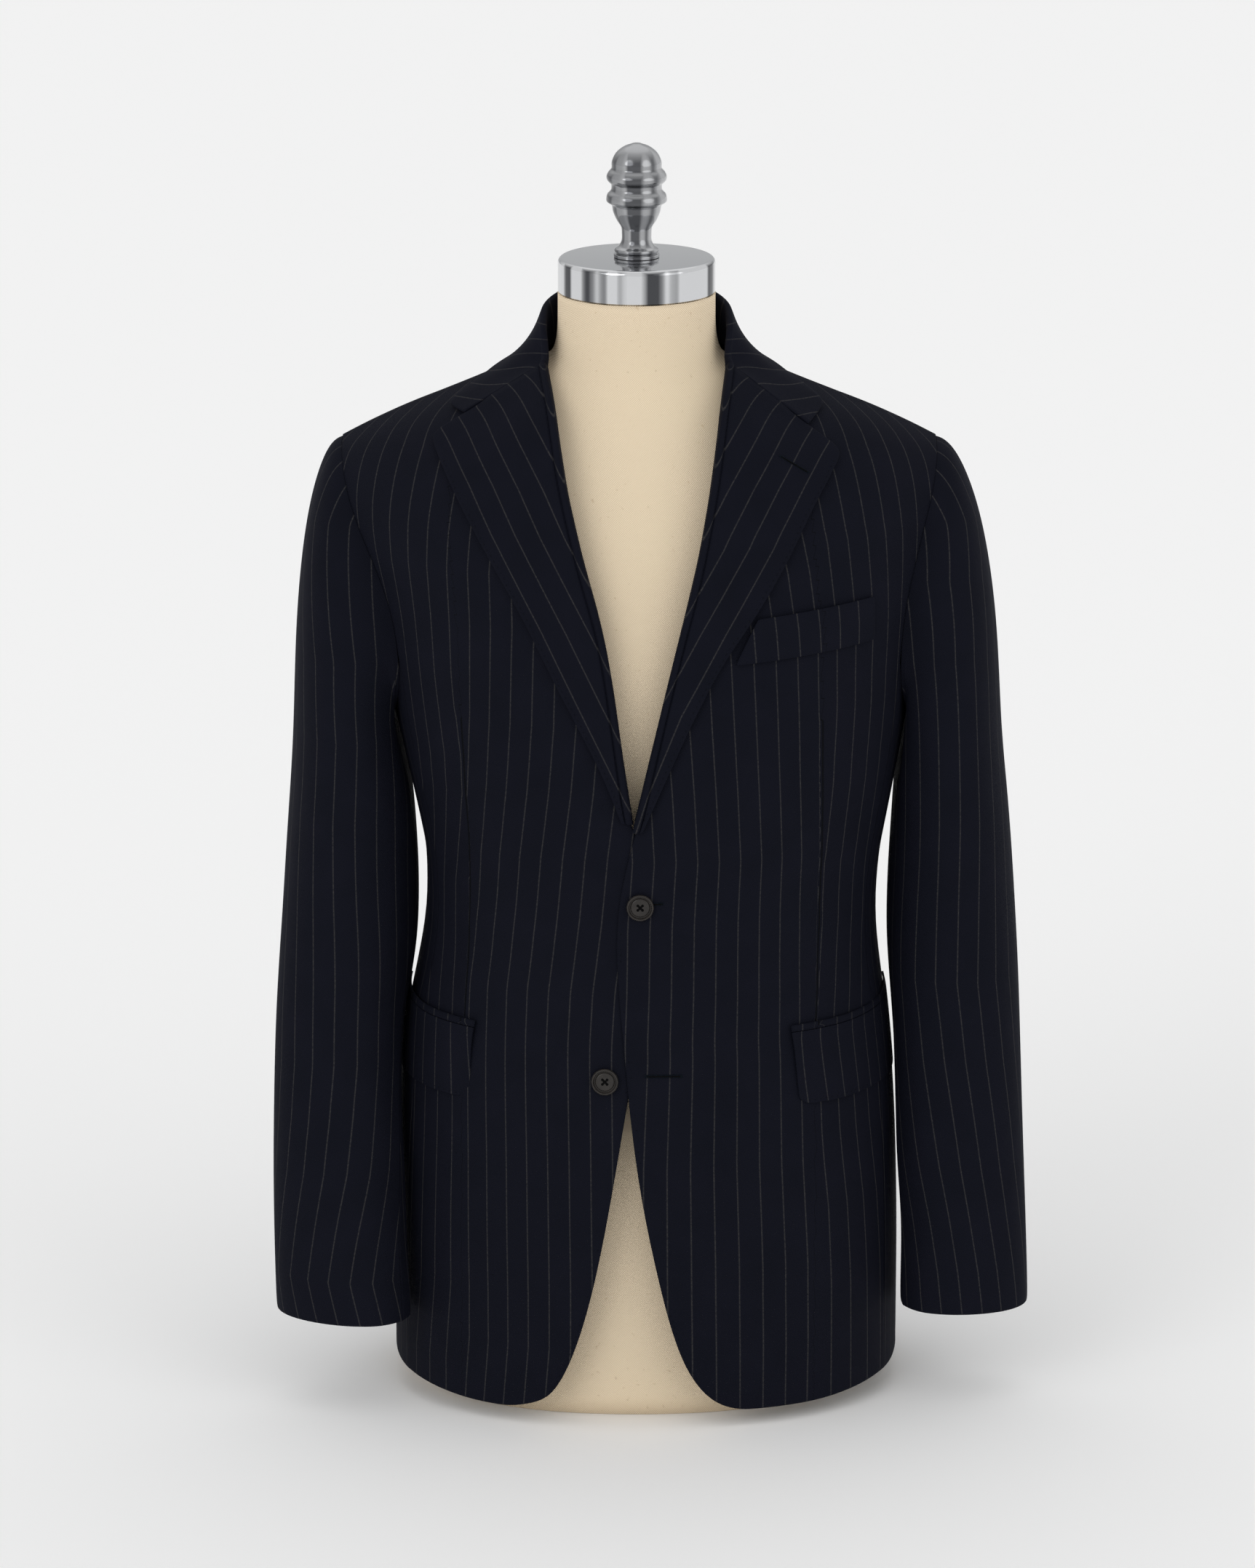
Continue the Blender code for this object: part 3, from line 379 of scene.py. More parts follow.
# %% Smooth copies of the CAD walls
RIM_ANGLE = math.radians(36)
RIM_CREASE = 0.22
RIM_CREASES = {"flap": 0.85, "jet": 0.85, "breast": 0.85, "form": 1.0}  # pressed flatter, or hidden


def merged_copy(node):
    """A CAD node's mesh with its loose triangles merged and joined into faces of four sides."""
    bm = bmesh.new()
    bm.from_mesh(frame["nodes"][node].data)
    bmesh.ops.remove_doubles(bm, verts=bm.verts, dist=1e-6)
    bmesh.ops.join_triangles(
        bm,
        faces=bm.faces[:],
        angle_face_threshold=math.radians(40),
        angle_shape_threshold=math.radians(180),
        topology_influence=1.0,
    )
    return bm


def close_seams(bm, node):
    """Sewn edges are drawn together and kept sharp; the other sharp edges are rounded a little."""
    crease = bm.edges.layers.float.new("crease_edge")
    rim = [e for e in bm.edges if len(e.link_faces) == 2 and e.calc_face_angle() > RIM_ANGLE]
    sewn = {}
    for point in {v for edge in rim for v in edge.verts}:
        near = sewn_to(node, point.co)
        if near is not None:
            sewn[point] = point.co.lerp(near, SEAM_PULL)
    plain_crease = RIM_CREASES.get(node.split("_")[0], RIM_CREASE)
    for edge in rim:
        edge[crease] = 1.0 if all(v in sewn for v in edge.verts) else plain_crease
    for point, place in sewn.items():
        point.co = place
    return len(sewn)


def made_real(source, name):
    """The mesh that an object's modifiers give; the object itself is removed."""
    bpy.context.view_layer.update()
    mesh = bpy.data.meshes.new_from_object(source.evaluated_get(bpy.context.evaluated_depsgraph_get()))
    bpy.data.objects.remove(source)
    mesh.name = name
    return mesh


def smoothed(bm, levels, name):
    """The mesh of a bmesh after subdividing it."""
    mesh = bpy.data.meshes.new(name)
    bm.to_mesh(mesh)
    bm.free()
    source = new_object(name + "-source", mesh)
    modifier = source.modifiers.new("smooth", "SUBSURF")
    modifier.levels = levels
    modifier.render_levels = levels
    return made_real(source, name)


AXIS_FOOT = np.array([AXIS.x, AXIS.y, 0])


def axis_points(mesh):
    """The mesh's points in mm from the form's axis."""
    points = np.zeros(len(mesh.vertices) * 3)
    mesh.vertices.foreach_get("co", points)
    return (points.reshape(-1, 3) - AXIS_FOOT) / MM


def corner_points(mesh):
    """The index of the point at each corner of each face."""
    corners = np.zeros(len(mesh.loops), int)
    mesh.loops.foreach_get("vertex_index", corners)
    return corners


def read_grain(mesh):
    """The grain map, one row of two lengths in metres for each corner."""
    uv = np.zeros(len(mesh.loops) * 2, np.float32)
    mesh.uv_layers["grain"].data.foreach_get("uv", uv)
    return uv.reshape(-1, 2)


def write_grain(mesh, across, along):
    """A UV map whose units are metres of cloth across and along the stripe."""
    layer = mesh.uv_layers.new(name="grain")
    corners = corner_points(mesh)
    values = np.stack([across[corners], along[corners]], -1) * MM
    layer.data.foreach_set("uv", values.astype(np.float32).ravel())


# %% Settle sleeves and pockets on the body
SLEEVE_SETTLES = {"left": 3.2, "right": 3.4}  # mm toward the body, on the sleeve's inner side
SLEEVE_BOTTOM, SLEEVE_TOP, SLEEVE_FADE = 110.0, 420.0, 90.0  # the heights that settle, in mm
SLEEVE_OUTER, SLEEVE_INNER = 236.0, 44.0  # nothing moves past the first; the rest fades over the second
POCKET_SETTLES = 1.8  # mm into the body, at the pocket's rear end
POCKET_REAR, POCKET_FADE = 146.0, 30.0
FLAP_TOP, FLAP_HEIGHT = 297.0, 52.0
CORNER_REACH, CORNER_FADE = 1.6, 16.0  # the front corner ends after 1.6 fades of 16 mm
FLAP_HANGS = {  # where the front edge is; how far the foot, its corner and the front edge move, in mm
    "left": (113.0, 3.5, 4.5, 3.0),
    "right": (118.0, 1.0, 4.5, 5.5),
}


def settle(mesh, kind, side):
    """Presses the inner side of a hanging sleeve, or a pocket's rear end, to the body."""
    points = axis_points(mesh)
    out = np.abs(points[:, 0])
    if kind == "sleeve":
        above_cuff = ease((points[:, 2] - SLEEVE_BOTTOM) / SLEEVE_FADE)
        hanging = above_cuff * ease((SLEEVE_TOP - points[:, 2]) / SLEEVE_FADE)
        moved = SLEEVE_SETTLES[side] * hanging * ease((SLEEVE_OUTER - out) / SLEEVE_INNER)
    elif kind in ("flap", "jet"):
        moved = POCKET_SETTLES * ease((out - POCKET_REAR) / POCKET_FADE)
        if kind == "flap":
            front_edge, lower, corner_lower, forward = FLAP_HANGS[side]
            foot = ease((FLAP_TOP - points[:, 2]) / FLAP_HEIGHT)
            near_front = ease(CORNER_REACH - (out - front_edge) / CORNER_FADE)
            moved += forward * foot * near_front
            points[:, 2] -= foot * (lower + corner_lower * foot * near_front)
    else:
        return
    points[:, 0] -= np.sign(points[:, 0]) * moved
    places = points * MM + AXIS_FOOT
    mesh.vertices.foreach_set("co", places.ravel())
    mesh.update()


# %% [markdown]
# ## The flat pattern of a sleeve
# A sleeve is cut flat and sewn into a bent tube with a domed head, so no simple rule gives its grain.
# Unwrapping does what a cutter does in reverse: it lays the cloth flat with as little strain as it can.
# The flat shape is then turned until height rises straight up it, and scaled to the cloth's true area.


# %% Unwrap a wall's outer side
def face_groups(bm):
    """Groups of faces that join across edges that are not sharp, largest area first."""
    unseen, groups = set(bm.faces), []
    while unseen:
        waiting, group = [unseen.pop()], []
        while waiting:
            face = waiting.pop()
            group.append(face)
            for edge in face.edges:
                if len(edge.link_faces) == 2 and edge.calc_face_angle() < RIM_ANGLE:
                    for other in edge.link_faces:
                        if other in unseen:
                            unseen.remove(other)
                            waiting.append(other)
        groups.append(group)
    return sorted(groups, key=lambda group: -sum(face.calc_area() for face in group))


def flat_pattern(node):
    """A bmesh of the node whose UV map is the outer side's flat pattern, in metres."""
    bm = merged_copy(node)
    bm.faces.ensure_lookup_table()
    outer = face_groups(bm)[0]
    chosen = {face.index for face in outer}
    area = sum(face.calc_area() for face in outer)
    for face in bm.faces:
        face.select_set(False)
    for face in outer:
        face.select_set(True)
    mesh = bpy.data.meshes.new("flat")
    bm.to_mesh(mesh)
    mesh.uv_layers.new(name="grain")
    sheet = new_object("flat", mesh)
    for other in bpy.context.view_layer.objects:
        other.select_set(other == sheet)
    bpy.context.view_layer.objects.active = sheet
    bpy.context.tool_settings.mesh_select_mode = (False, False, True)
    bpy.ops.object.mode_set(mode="EDIT")
    bpy.ops.uv.unwrap(method="ANGLE_BASED", margin=0)
    bpy.ops.object.mode_set(mode="OBJECT")
    bm.free()

    bm = bmesh.new()
    bm.from_mesh(sheet.data)
    bpy.data.objects.remove(sheet)
    bm.faces.ensure_lookup_table()
    layer = bm.loops.layers.uv["grain"]
    flat = {}
    for index in chosen:
        for loop in bm.faces[index].loops:
            flat[loop.vert.index] = loop[layer].uv.copy()
    bm.verts.ensure_lookup_table()
    keys = sorted(flat)
    uv = np.array([flat[k] for k in keys])
    height = np.array([bm.verts[k].co.z for k in keys])
    slope = np.linalg.lstsq(np.column_stack([uv, np.ones(len(uv))]), height, rcond=None)[0][:2]
    up = slope / np.linalg.norm(slope)
    uv_area = 0.0
    for index in chosen:
        ring = np.array([flat[loop.vert.index] for loop in bm.faces[index].loops])
        following = np.roll(ring, -1, axis=0)
        uv_area += 0.5 * abs(np.sum(ring[:, 0] * following[:, 1] - following[:, 0] * ring[:, 1]))
    scale = math.sqrt(area / uv_area)
    turned = np.stack([uv @ np.array([up[1], -up[0]]), uv @ up], -1) * scale
    turned -= turned.mean(axis=0)
    tree = KDTree(len(keys))
    for place, key in enumerate(keys):
        tree.insert(bm.verts[key].co, place)
    tree.balance()
    for face in bm.faces:
        for loop in face.loops:
            loop[layer].uv = turned[tree.find(loop.vert.co)[1]]
    return bm


# %% Grain of each kind of piece
LAPEL_LEAN = {"left": 30.0, "right": 27.5}  # degrees from upright
COLLAR_TURN = 1.65  # mm of cloth across the stripe for each mm down the collar
COLLAR_FROM, COLLAR_OVER = 55, 65  # degrees from the nape where the stripe turns, and over how many
COLLAR_TOP = 851
COLLAR_WAVE, WAVE_START, WAVE_LENGTH = 1.6, 66, 9  # a slight bend of the stripe, in mm


def lapel_grain(points, side):
    """Across and along a stripe that runs beside the lapel's free edge."""
    across, up = body_grain(points)
    lean = math.radians(LAPEL_LEAN[side]) * (1 if side == "left" else -1)
    return across * math.cos(lean) - up * math.sin(lean), across * math.sin(lean) + up * math.cos(lean)


def collar_grain(points):
    """The collar's stripe is upright at the nape and lies level where it comes to the front."""
    around = np.degrees(np.arctan2(np.abs(points[:, 0]), points[:, 1]))
    turned = ease((around - COLLAR_FROM) / COLLAR_OVER)
    behind = np.abs(points[:, 0])
    bend = COLLAR_WAVE * np.sin((behind - WAVE_START) / WAVE_LENGTH)
    before = COLLAR_TURN * (COLLAR_TOP - points[:, 2]) + bend
    return behind + (before - behind) * turned, points[:, 1] - points[:, 2]


print("lapel stripes lean", LAPEL_LEAN)

# %% [markdown]
# ## Worsted wool with a chalk stripe
# The suiting is a plain navy worsted, so dark that only its twill and its sheen show. The chalk stripe
# is a pale thread laid 16 mm apart: it looks dusty because dark threads cross it every half
# millimetre. The stripe is drawn from the grain map and broken by fine noise along its length. A wave
# pattern and a fine fuzz give the twill's surface, and a front's dart is a thin sunk line darkened
# with painted shade.

# %% The suiting
STRIPE_PITCH = 16.0
STRIPE_HALF_WIDTH = 0.38
STRIPE_SOFT_EDGE = 0.3
TWILL_PITCH = 0.9  # the real twill is 0.5 mm, drawn coarser so that it shows
WAVES = 3.14  # a wave texture has about so many waves in each mm at a scale of 1

worsted, tree, shader = new_material(
    "worsted wool suiting",
    Roughness=0.78,
    IOR=1.45,
    Sheen_Weight=0.012,
    Sheen_Roughness=0.4,
    Sheen_Tint=linear("#9CA0D0"),
    Specular_IOR_Level=0.06,
)
grain = add_node(tree, "ShaderNodeUVMap", uv_map="grain")
in_mm = vectors(tree, "MULTIPLY", grain.outputs["UV"], (1 / MM, 1 / MM, 1 / MM))
parts = add_node(tree, "ShaderNodeSeparateXYZ", {0: in_mm})
shaken = maths(tree, "MULTIPLY_ADD", noise(tree, in_mm, 0.9, 2.0), 0.35, parts.outputs["X"])
from_stripe = maths(tree, "PINGPONG", shaken, STRIPE_PITCH / 2)
pale_within = STRIPE_HALF_WIDTH - STRIPE_SOFT_EDGE
stripe = ranged(tree, from_stripe, STRIPE_HALF_WIDTH + STRIPE_SOFT_EDGE, pale_within)
dusty = ranged(tree, noise(tree, in_mm, 0.55, 3.0, 0.75), 0.3, 0.7, 0.2, 1.0)
ground = mixed(tree, noise(tree, in_mm, 0.03, 4.0), linear("#0D0F17"), linear("#13141E"))
colour = mixed(tree, maths(tree, "MULTIPLY", stripe, dusty), ground, linear("#3C3B3B"))
dart = add_node(tree, "ShaderNodeAttribute", attribute_name="from_dart")
# painted shade: the cloth is darkened along the dart's line, which the same mask sinks as a bump
dart_groove_and_shade = ranged(tree, maths(tree, "ABSOLUTE", dart.outputs["Fac"]), 1.1, 0.2)
tree.links.new(mixed(tree, dart_groove_and_shade, colour, linear("#08090C")), shader.inputs["Base Color"])
twill_turn = add_node(
    tree, "ShaderNodeMapping", {"Vector": in_mm, "Rotation": (0, 0, math.radians(27))}
)
twill = add_node(
    tree,
    "ShaderNodeTexWave",
    {"Vector": twill_turn.outputs[0], "Scale": 1 / TWILL_PITCH / WAVES, "Distortion": 0.6},
)
relief = maths(tree, "ADD", twill.outputs["Fac"], noise(tree, in_mm, 1.6, 3.0))
bump = add_node(tree, "ShaderNodeBump", {"Height": relief, "Strength": 0.35, "Distance": 0.0004})
sunk = add_node(
    tree,
    "ShaderNodeBump",
    {"Height": dart_groove_and_shade, "Strength": 0.6, "Distance": 0.0008, "Normal": bump.outputs[0]},
    invert=True,
)
tree.links.new(sunk.outputs[0], shader.inputs["Normal"])
print("material:", worsted.name)

# %% [markdown]
# ## How far the stripe drifts on each panel
# A pressed and darted panel doesn't lie in level rounds, so its stripes wander a little from the
# length of cloth round the body. Each row gives a height, how far the stripe is moved there and how
# much it is spread for each 100 mm of cloth. On a front, the cloth beyond the waist dart has rows of
# its own, because the dart takes in one whole stripe between the chest and the pocket.

# %% Drift of the stripe
DART_PLACES = {"front_left": 128.0, "front_right": 143.0}  # mm of cloth from the centre front
DART_HEIGHTS = (300.0, 535.0)
FAR_FROM_DART = 9.0  # mm, which is well clear of the dart's line
DART_BLEND, OPEN_BLEND = 0.5, 24.0  # mm over which the two rules meet, at the dart and past its ends
STRIPE_DRIFT = {
    "front_left": [
        (0, 0.0, -8.3), (60, 1.4, -10.0), (120, 2.2, -10.1), (200, 2.1, -6.7), (280, -0.4, -2.7),
        (330, 0.6, -1.2), (380, 1.6, -0.3), (430, -0.4, 1.5), (480, 1.4, 0.7), (530, 4.4, -1.6),
        (580, 6.5, -3.3), (640, 10.4, -4.1), (720, 22.0, -5.7),
    ],
    "front_right": [
        (0, 12.5, -0.1), (60, 8.0, 0.3), (120, 7.8, -0.2), (200, 9.2, 0.3), (280, 10.5, 0.2),
        (330, 9.5, -1.4), (380, 4.6, -1.8), (430, 1.5, -1.7), (480, -5.8, -1.7), (530, -11.3, -2.2),
        (580, -13.4, -2.0), (640, -19.6, -4.6), (680, -29.3, -7.5), (720, -38.4, -9.4),
    ],
    "beyond_dart_left": [
        (40, 10.1, -18.0), (100, 6.7, -15.5), (160, 2.9, -10.7), (220, -0.6, -3.8), (285, -4.5, 1.5),
        (296, 16.6, -1.1), (360, 15.0, -1.5), (420, 14.3, -1.1), (480, 8.5, -1.4), (540, 6.4, -2.1),
        (600, 7.6, -3.2), (660, 11.5, -4.4), (720, 22.0, -5.7),
    ],
    "beyond_dart_right": [
        (40, -3.4, -11.1), (100, 2.1, -4.6), (160, 9.3, 0.4), (220, 11.9, 2.7), (285, 13.8, 3.7),
        (296, -4.6, 0.0), (336, -2.7, 0.0), (400, -0.6, 0.0), (445, -8.4, 0.0), (472, -13.6, 0.0),
        (500, -14.6, 0.0), (530, -12.6, 0.0), (560, -8.2, 1.1), (600, -12.7, -1.5), (640, -19.6, -4.6),
        (680, -29.3, -7.5), (720, -38.4, -9.4),
    ],
    "sleeve_top_right": [
        (60, 12.7, -7.6), (100, 20.7, -5.9), (140, 13.5, -3.6), (180, 5.7, -0.8), (220, 2.0, 0.3),
        (260, 1.1, -1.7), (320, 5.1, -5.1), (380, 10.2, -6.8), (440, 13.6, -7.5), (500, 12.3, -5.7),
        (560, 17.3, -1.2), (620, 32.4, 3.1), (660, 43.1, 5.9),
    ],
    "sleeve_top_left": [
        (60, -19.0, -2.4), (100, -13.7, 0.3), (140, -6.9, 1.8), (180, -0.9, 0.4), (220, 3.3, -1.3),
        (260, 8.0, -2.0), (320, 12.5, -2.3), (380, 9.4, -1.1), (440, 6.0, 0.9), (500, 3.9, 2.6),
        (560, 2.2, 4.1), (620, -4.9, 4.0), (660, -16.9, 2.9),
    ],
    "lapel_left": [
        (420, -6.3, 1.7), (480, 6.6, 1.5), (540, 16.1, 1.8), (600, 19.0, 2.3), (660, 14.3, 1.9),
        (700, 7.9, -1.1), (740, -1.6, -4.5),
    ],
    "lapel_right": [
        (420, 22.4, 1.0), (480, 15.3, 2.7), (540, 8.2, 4.1), (600, 3.4, 4.5), (660, 2.2, 2.8),
        (700, 6.4, -0.2), (740, 14.5, -3.8),
    ],
    "flap_left": [(240, -9.0, 0.0), (255, -6.6, 0.0), (273, -3.9, 0.0), (291, -1.8, 0.0)],
    "flap_right": [(240, 6.8, 0.0), (291, 8.1, 0.0)],
}
DRIFTS_LIKE = {"breast_welt": "front_left", "jet_left": "front_left", "jet_right": "front_right"}


def drift(rows, across, heights):
    """How far the stripe is moved at each point, in mm."""
    rows = np.array(rows, float)
    shift, spread = (np.interp(heights, rows[:, 0], rows[:, k]) for k in (1, 2))
    return shift + spread * across / 100


def drifted(node, across, heights):
    """The grain across a panel with its drift, and the distance from its dart where it has one."""
    rule = DRIFTS_LIKE.get(node, node)
    from_dart = np.full(len(across), FAR_FROM_DART)
    if rule not in STRIPE_DRIFT:
        return across, from_dart
    moved = drift(STRIPE_DRIFT[rule], across, heights)
    if rule.startswith("front"):
        beyond = drift(STRIPE_DRIFT[rule.replace("front", "beyond_dart")], across, heights)
        darted = (heights > DART_HEIGHTS[0]) & (heights < DART_HEIGHTS[1])
        past_dart = np.abs(across) - DART_PLACES[rule]
        from_dart = np.where(darted, past_dart, np.copysign(FAR_FROM_DART, past_dart))
        share = ease(past_dart / np.where(darted, DART_BLEND, OPEN_BLEND) + 0.5)
        moved += (beyond - moved) * share
    return across + moved, from_dart


print(len(STRIPE_DRIFT), "tables of drift")

# %% [markdown]
# ## The panels
# Each panel is a piece of its own, as it is cut, and replaces its CAD wall. Its kind says how finely
# it is divided, how it is held and which rule gives its grain.

# %% Build the cloth
LEVELS_OF = {"back": 2, "side": 2, "jet": 1, "breast": 2}
COLLAR_CUT = (0.075, 0.43)  # depth of stand and fall together, and length round the neck
BACK_STRIPE = 8.0  # the centre back seam lies half way between two stripes
cloth = {}


def panel_grain(kind, side, points):
    """Lengths of cloth across and along the stripe, by the rule for this kind of piece."""
    if kind == "lapel":
        return lapel_grain(points, side)
    if kind == "collar":
        return collar_grain(points)
    return body_grain(points, kind if kind in ("side", "back") else "front")


def cloth_sheet_size(mesh):
    """Width, length and area of the flat cloth, in metres: half of the wall's whole surface."""
    width, length = np.ptp(read_grain(mesh), axis=0)
    area = sum(polygon.area for polygon in mesh.polygons) / 2
    return float(width), float(length), area


def set_drift(mesh, node):
    """Moves the stripe in the grain map, and keeps the distance from the dart as an attribute."""
    uv = read_grain(mesh)
    heights = axis_points(mesh)[corner_points(mesh), 2]
    across, from_dart = drifted(node, uv[:, 0] / MM, heights)
    uv[:, 0] = across * MM
    mesh.uv_layers["grain"].data.foreach_set("uv", uv.ravel())
    layer = mesh.attributes.new("from_dart", "FLOAT", "CORNER")
    layer.data.foreach_set("value", from_dart.astype(np.float32))


for node in cloth_nodes:
    kind, side = node.split("_")[0], node.split("_")[-1]
    levels = LEVELS_OF.get(kind, 3)
    name = "cloth-" + node.replace("_", "-")
    wall = flat_pattern(node) if kind == "sleeve" else merged_copy(node)
    points_sewn = close_seams(wall, node)
    mesh = smoothed(wall, levels, name)
    settle(mesh, kind, side)
    if kind != "sleeve":
        across, along = panel_grain(kind, side, axis_points(mesh))
        write_grain(mesh, across + (BACK_STRIPE if kind == "back" else 0.0), along)
    mesh.shade_smooth()
    piece = new_object(name, mesh, worsted)
    cloth[node] = piece
    width, length, area = cloth_sheet_size(mesh)
    if kind == "jet":
        length *= 2  # a jet is a strip that is folded in two
    if kind == "collar":
        width, length = COLLAR_CUT
    area = min(area, width * length)
    set_drift(mesh, node)
    print(f"{name}: {len(mesh.polygons)} faces, {width:.3f} x {length:.3f} m, {points_sewn} points sewn")
    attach(piece, "root")
    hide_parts(node)

# %% [markdown]
# ## The form
# The dress form is a padded torso covered tightly in natural linen. Its surface is smooth, so a
# subdivided copy of the CAD solid keeps its shape, and the finish is a plain weave of threads that
# vary in thickness, with the small dark flecks that unbleached linen has.

# %% Linen
linen, tree, shader = new_material(
    "natural linen canvas", Roughness=0.9, IOR=1.45, Specular_IOR_Level=0.2
)
THREAD_PITCH = 1.1  # real canvas is 0.7 mm, drawn coarser so that it shows
place = add_node(tree, "ShaderNodeTexCoord")
in_mm = vectors(tree, "MULTIPLY", place.outputs["Object"], (1 / MM, 1 / MM, 1 / MM))
turn = add_node(tree, "ShaderNodeMapping", {"Vector": in_mm, "Rotation": (0, math.radians(38), 0)})
threads = {"Vector": turn.outputs[0], "Scale": 1 / THREAD_PITCH / WAVES, "Distortion": 1.2}
warp, weft = (add_node(tree, "ShaderNodeTexWave", threads, bands_direction=way) for way in "XZ")
weave = maths(tree, "ADD", warp.outputs["Fac"], weft.outputs["Fac"])
# the weave's colour follows its height: painted shade in the hollows between threads, lighter on the
# crowns
weave_tone_and_shade = mixed(tree, ranged(tree, weave, 0.2, 1.8, 0.0, 0.7), linear("#D6C09E"), linear("#FCEFDA"))
spotted = ranged(tree, noise(tree, in_mm, 0.25, 6.0), 0.66, 0.76, 0.0, 0.4)
tree.links.new(mixed(tree, spotted, weave_tone_and_shade, linear("#A98A60")), shader.inputs["Base Color"])
bump = add_node(tree, "ShaderNodeBump", {"Height": weave, "Strength": 0.3, "Distance": 0.0004})
tree.links.new(bump.outputs[0], shader.inputs["Normal"])

# %% The form's body
form_bm = merged_copy("form_torso")
close_seams(form_bm, "form_torso")
form_mesh = smoothed(form_bm, 2, "form-body")
form_mesh.shade_smooth()
form = new_object("form-body", form_mesh, linen)
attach(form, "root")
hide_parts("form_torso")
print("form:", len(form_mesh.polygons), "faces")

# %% [markdown]
# ## Turned metal
# The cap and the finial are turned on a lathe and plated, so they are bodies of revolution with
# polished faces. A profile is swept round the axis; the finial's profile is a smooth curve through the
# sizes of the CAD solid, so its beads and coves are round. Their colour holds painted reflections:
# upright dark and light bands round the sides, and the light tone on faces that look up.

# %% Chrome
METALS = {  # name, darkest and lightest tone of the painted reflection bands, how close they are, least and most roughness
    "neck_cap": ("polished chrome plate", "#4C4D50", "#D6D7D9", 3.4, (0.06, 0.16)),
    "finial": ("polished nickel", "#5C5D60", "#B4B5B7", 1.3, (0.1, 0.24)),
}


def painted_reflection_metal(name, dark, light, bands, roughness):
    """Polished metal whose colour holds painted reflections: soft upright bands all round, light on faces
    that look up.
    """
    metal, tree, shader = new_material(name, Metallic=1.0)
    place = add_node(tree, "ShaderNodeTexCoord").outputs["Object"]
    centred = vectors(tree, "SUBTRACT", place, (AXIS.x, AXIS.y, 0.0))
    facing = vectors(tree, "NORMALIZE", vectors(tree, "MULTIPLY", centred, (1, 1, 0)))
    # painted reflection: dark and light upright bands by the direction round the axis
    reflection_bands = ranged(tree, noise(tree, facing, bands, 1.5, 0.6), 0.42, 0.56)
    surface = add_node(tree, "ShaderNodeNewGeometry")
    upright = add_node(tree, "ShaderNodeSeparateXYZ", {0: surface.outputs["Normal"]})
    # painted reflection: faces that look up take the light tone, with no bands
    reflection_bands_light_on_top = maths(tree, "MAXIMUM", reflection_bands, ranged(tree, upright.outputs["Z"], 0.35, 0.85))
    tone = mixed(tree, reflection_bands_light_on_top, linear(dark), linear(light))
    tree.links.new(tone, shader.inputs["Base Color"])
    dulled = ranged(tree, noise(tree, place, 60.0, 4.0), 0.0, 1.0, *roughness)
    tree.links.new(dulled, shader.inputs["Roughness"])
    return metal


metals = {node: painted_reflection_metal(*row) for node, row in METALS.items()}
LATHE_SHARP, BUTTON_SHARP = 35, 40  # degrees; a steeper edge isn't smoothed over


# %% Cap and finial
def finished_mesh(bm, name, sharp):
    """A smooth mesh of a bmesh, with its normals outward."""
    bmesh.ops.recalc_face_normals(bm, faces=bm.faces)
    mesh = bpy.data.meshes.new(name)
    bm.to_mesh(mesh)
    bm.free()
    mesh.shade_smooth()
    mesh.set_sharp_from_angle(angle=math.radians(sharp))
    return mesh


def lathe(name, profile, segments, material):
    """A closed body of revolution round the form's axis from (radius, height) pairs in metres."""
    bm = bmesh.new()
    rings = []
    for radius, height in profile:
        ring = []
        for k in range(segments):
            a = 2 * math.pi * k / segments
            x, y = AXIS.x + radius * math.cos(a), AXIS.y + radius * math.sin(a)
            ring.append(bm.verts.new((x, y, height)))
        rings.append(ring)
    for low, high in zip(rings, rings[1:]):
        for k in range(segments):
            bm.faces.new([low[k], low[(k + 1) % segments], high[(k + 1) % segments], high[k]])
    bm.faces.new(rings[0][::-1])
    bm.faces.new(rings[-1])
    return new_object(name, finished_mesh(bm, name, LATHE_SHARP), material)


def rounded(radii, heights, steps):
    """A smooth curve through a profile's points: a Catmull-Rom spline, in (radius, height) pairs."""
    knots = np.column_stack([radii, heights])
    knots = np.vstack([2 * knots[0] - knots[1], knots, 2 * knots[-1] - knots[-2]])
    curve = []
    for a, b, c, d in zip(knots, knots[1:], knots[2:], knots[3:]):
        square, cube = 2 * a - 5 * b + 4 * c - d, 3 * b - a - 3 * c + d
        for t in np.arange(steps) / steps:
            curve.append(0.5 * (2 * b + (c - a) * t + square * t**2 + cube * t**3))
    curve.append(knots[-2])
    return [(max(radius, 0.0001), height) for radius, height in curve]


def silhouette(node):
    """The node's radius at each height of its own points."""
    points = np.array([v.co for v in frame["nodes"][node].data.vertices])
    radius = np.hypot(points[:, 0] - AXIS.x, points[:, 1] - AXIS.y)
    heights = np.unique(np.round(points[:, 2], 5))
    widest = np.array([radius[np.abs(points[:, 2] - h) < 2e-5].max() for h in heights])
    return heights, widest


CAP_INSET = 0.0018  # the photo's cap is a little smaller than the solid
cap_radius = (cap_high.x - cap_low.x) / 2 - CAP_INSET
EDGE, FOOT_EDGE = 0.0035, 0.0008  # the round of the cap's top edge, and the bevel of its foot
corner = [math.radians(a) for a in range(0, 91, 15)]
cap_profile = [(cap_radius - FOOT_EDGE, cap_low.z), (cap_radius, cap_low.z + FOOT_EDGE)]
cap_profile += [
    (cap_radius - EDGE + EDGE * math.cos(a), cap_high.z - EDGE + EDGE * math.sin(a)) for a in corner
]
cap = lathe("cap-disc", cap_profile, 128, metals["neck_cap"])
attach(cap, "root")
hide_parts("neck_cap")

finial_heights, finial_radii = silhouette("finial")
finial_profile = rounded(finial_radii, finial_heights, 5)
finial = lathe("finial-turned", finial_profile, 96, metals["finial"])
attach(finial, "root")
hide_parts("finial")
print("finial of", len(finial_profile), "rings")

# %% [markdown]
# ## Buttons
# A jacket button is turned from horn: a flat dish with a raised round rim and four holes, sewn on with
# a cross of dark thread. Its place and the way it faces come from the CAD button, whose shortest
# direction is the button's axis.

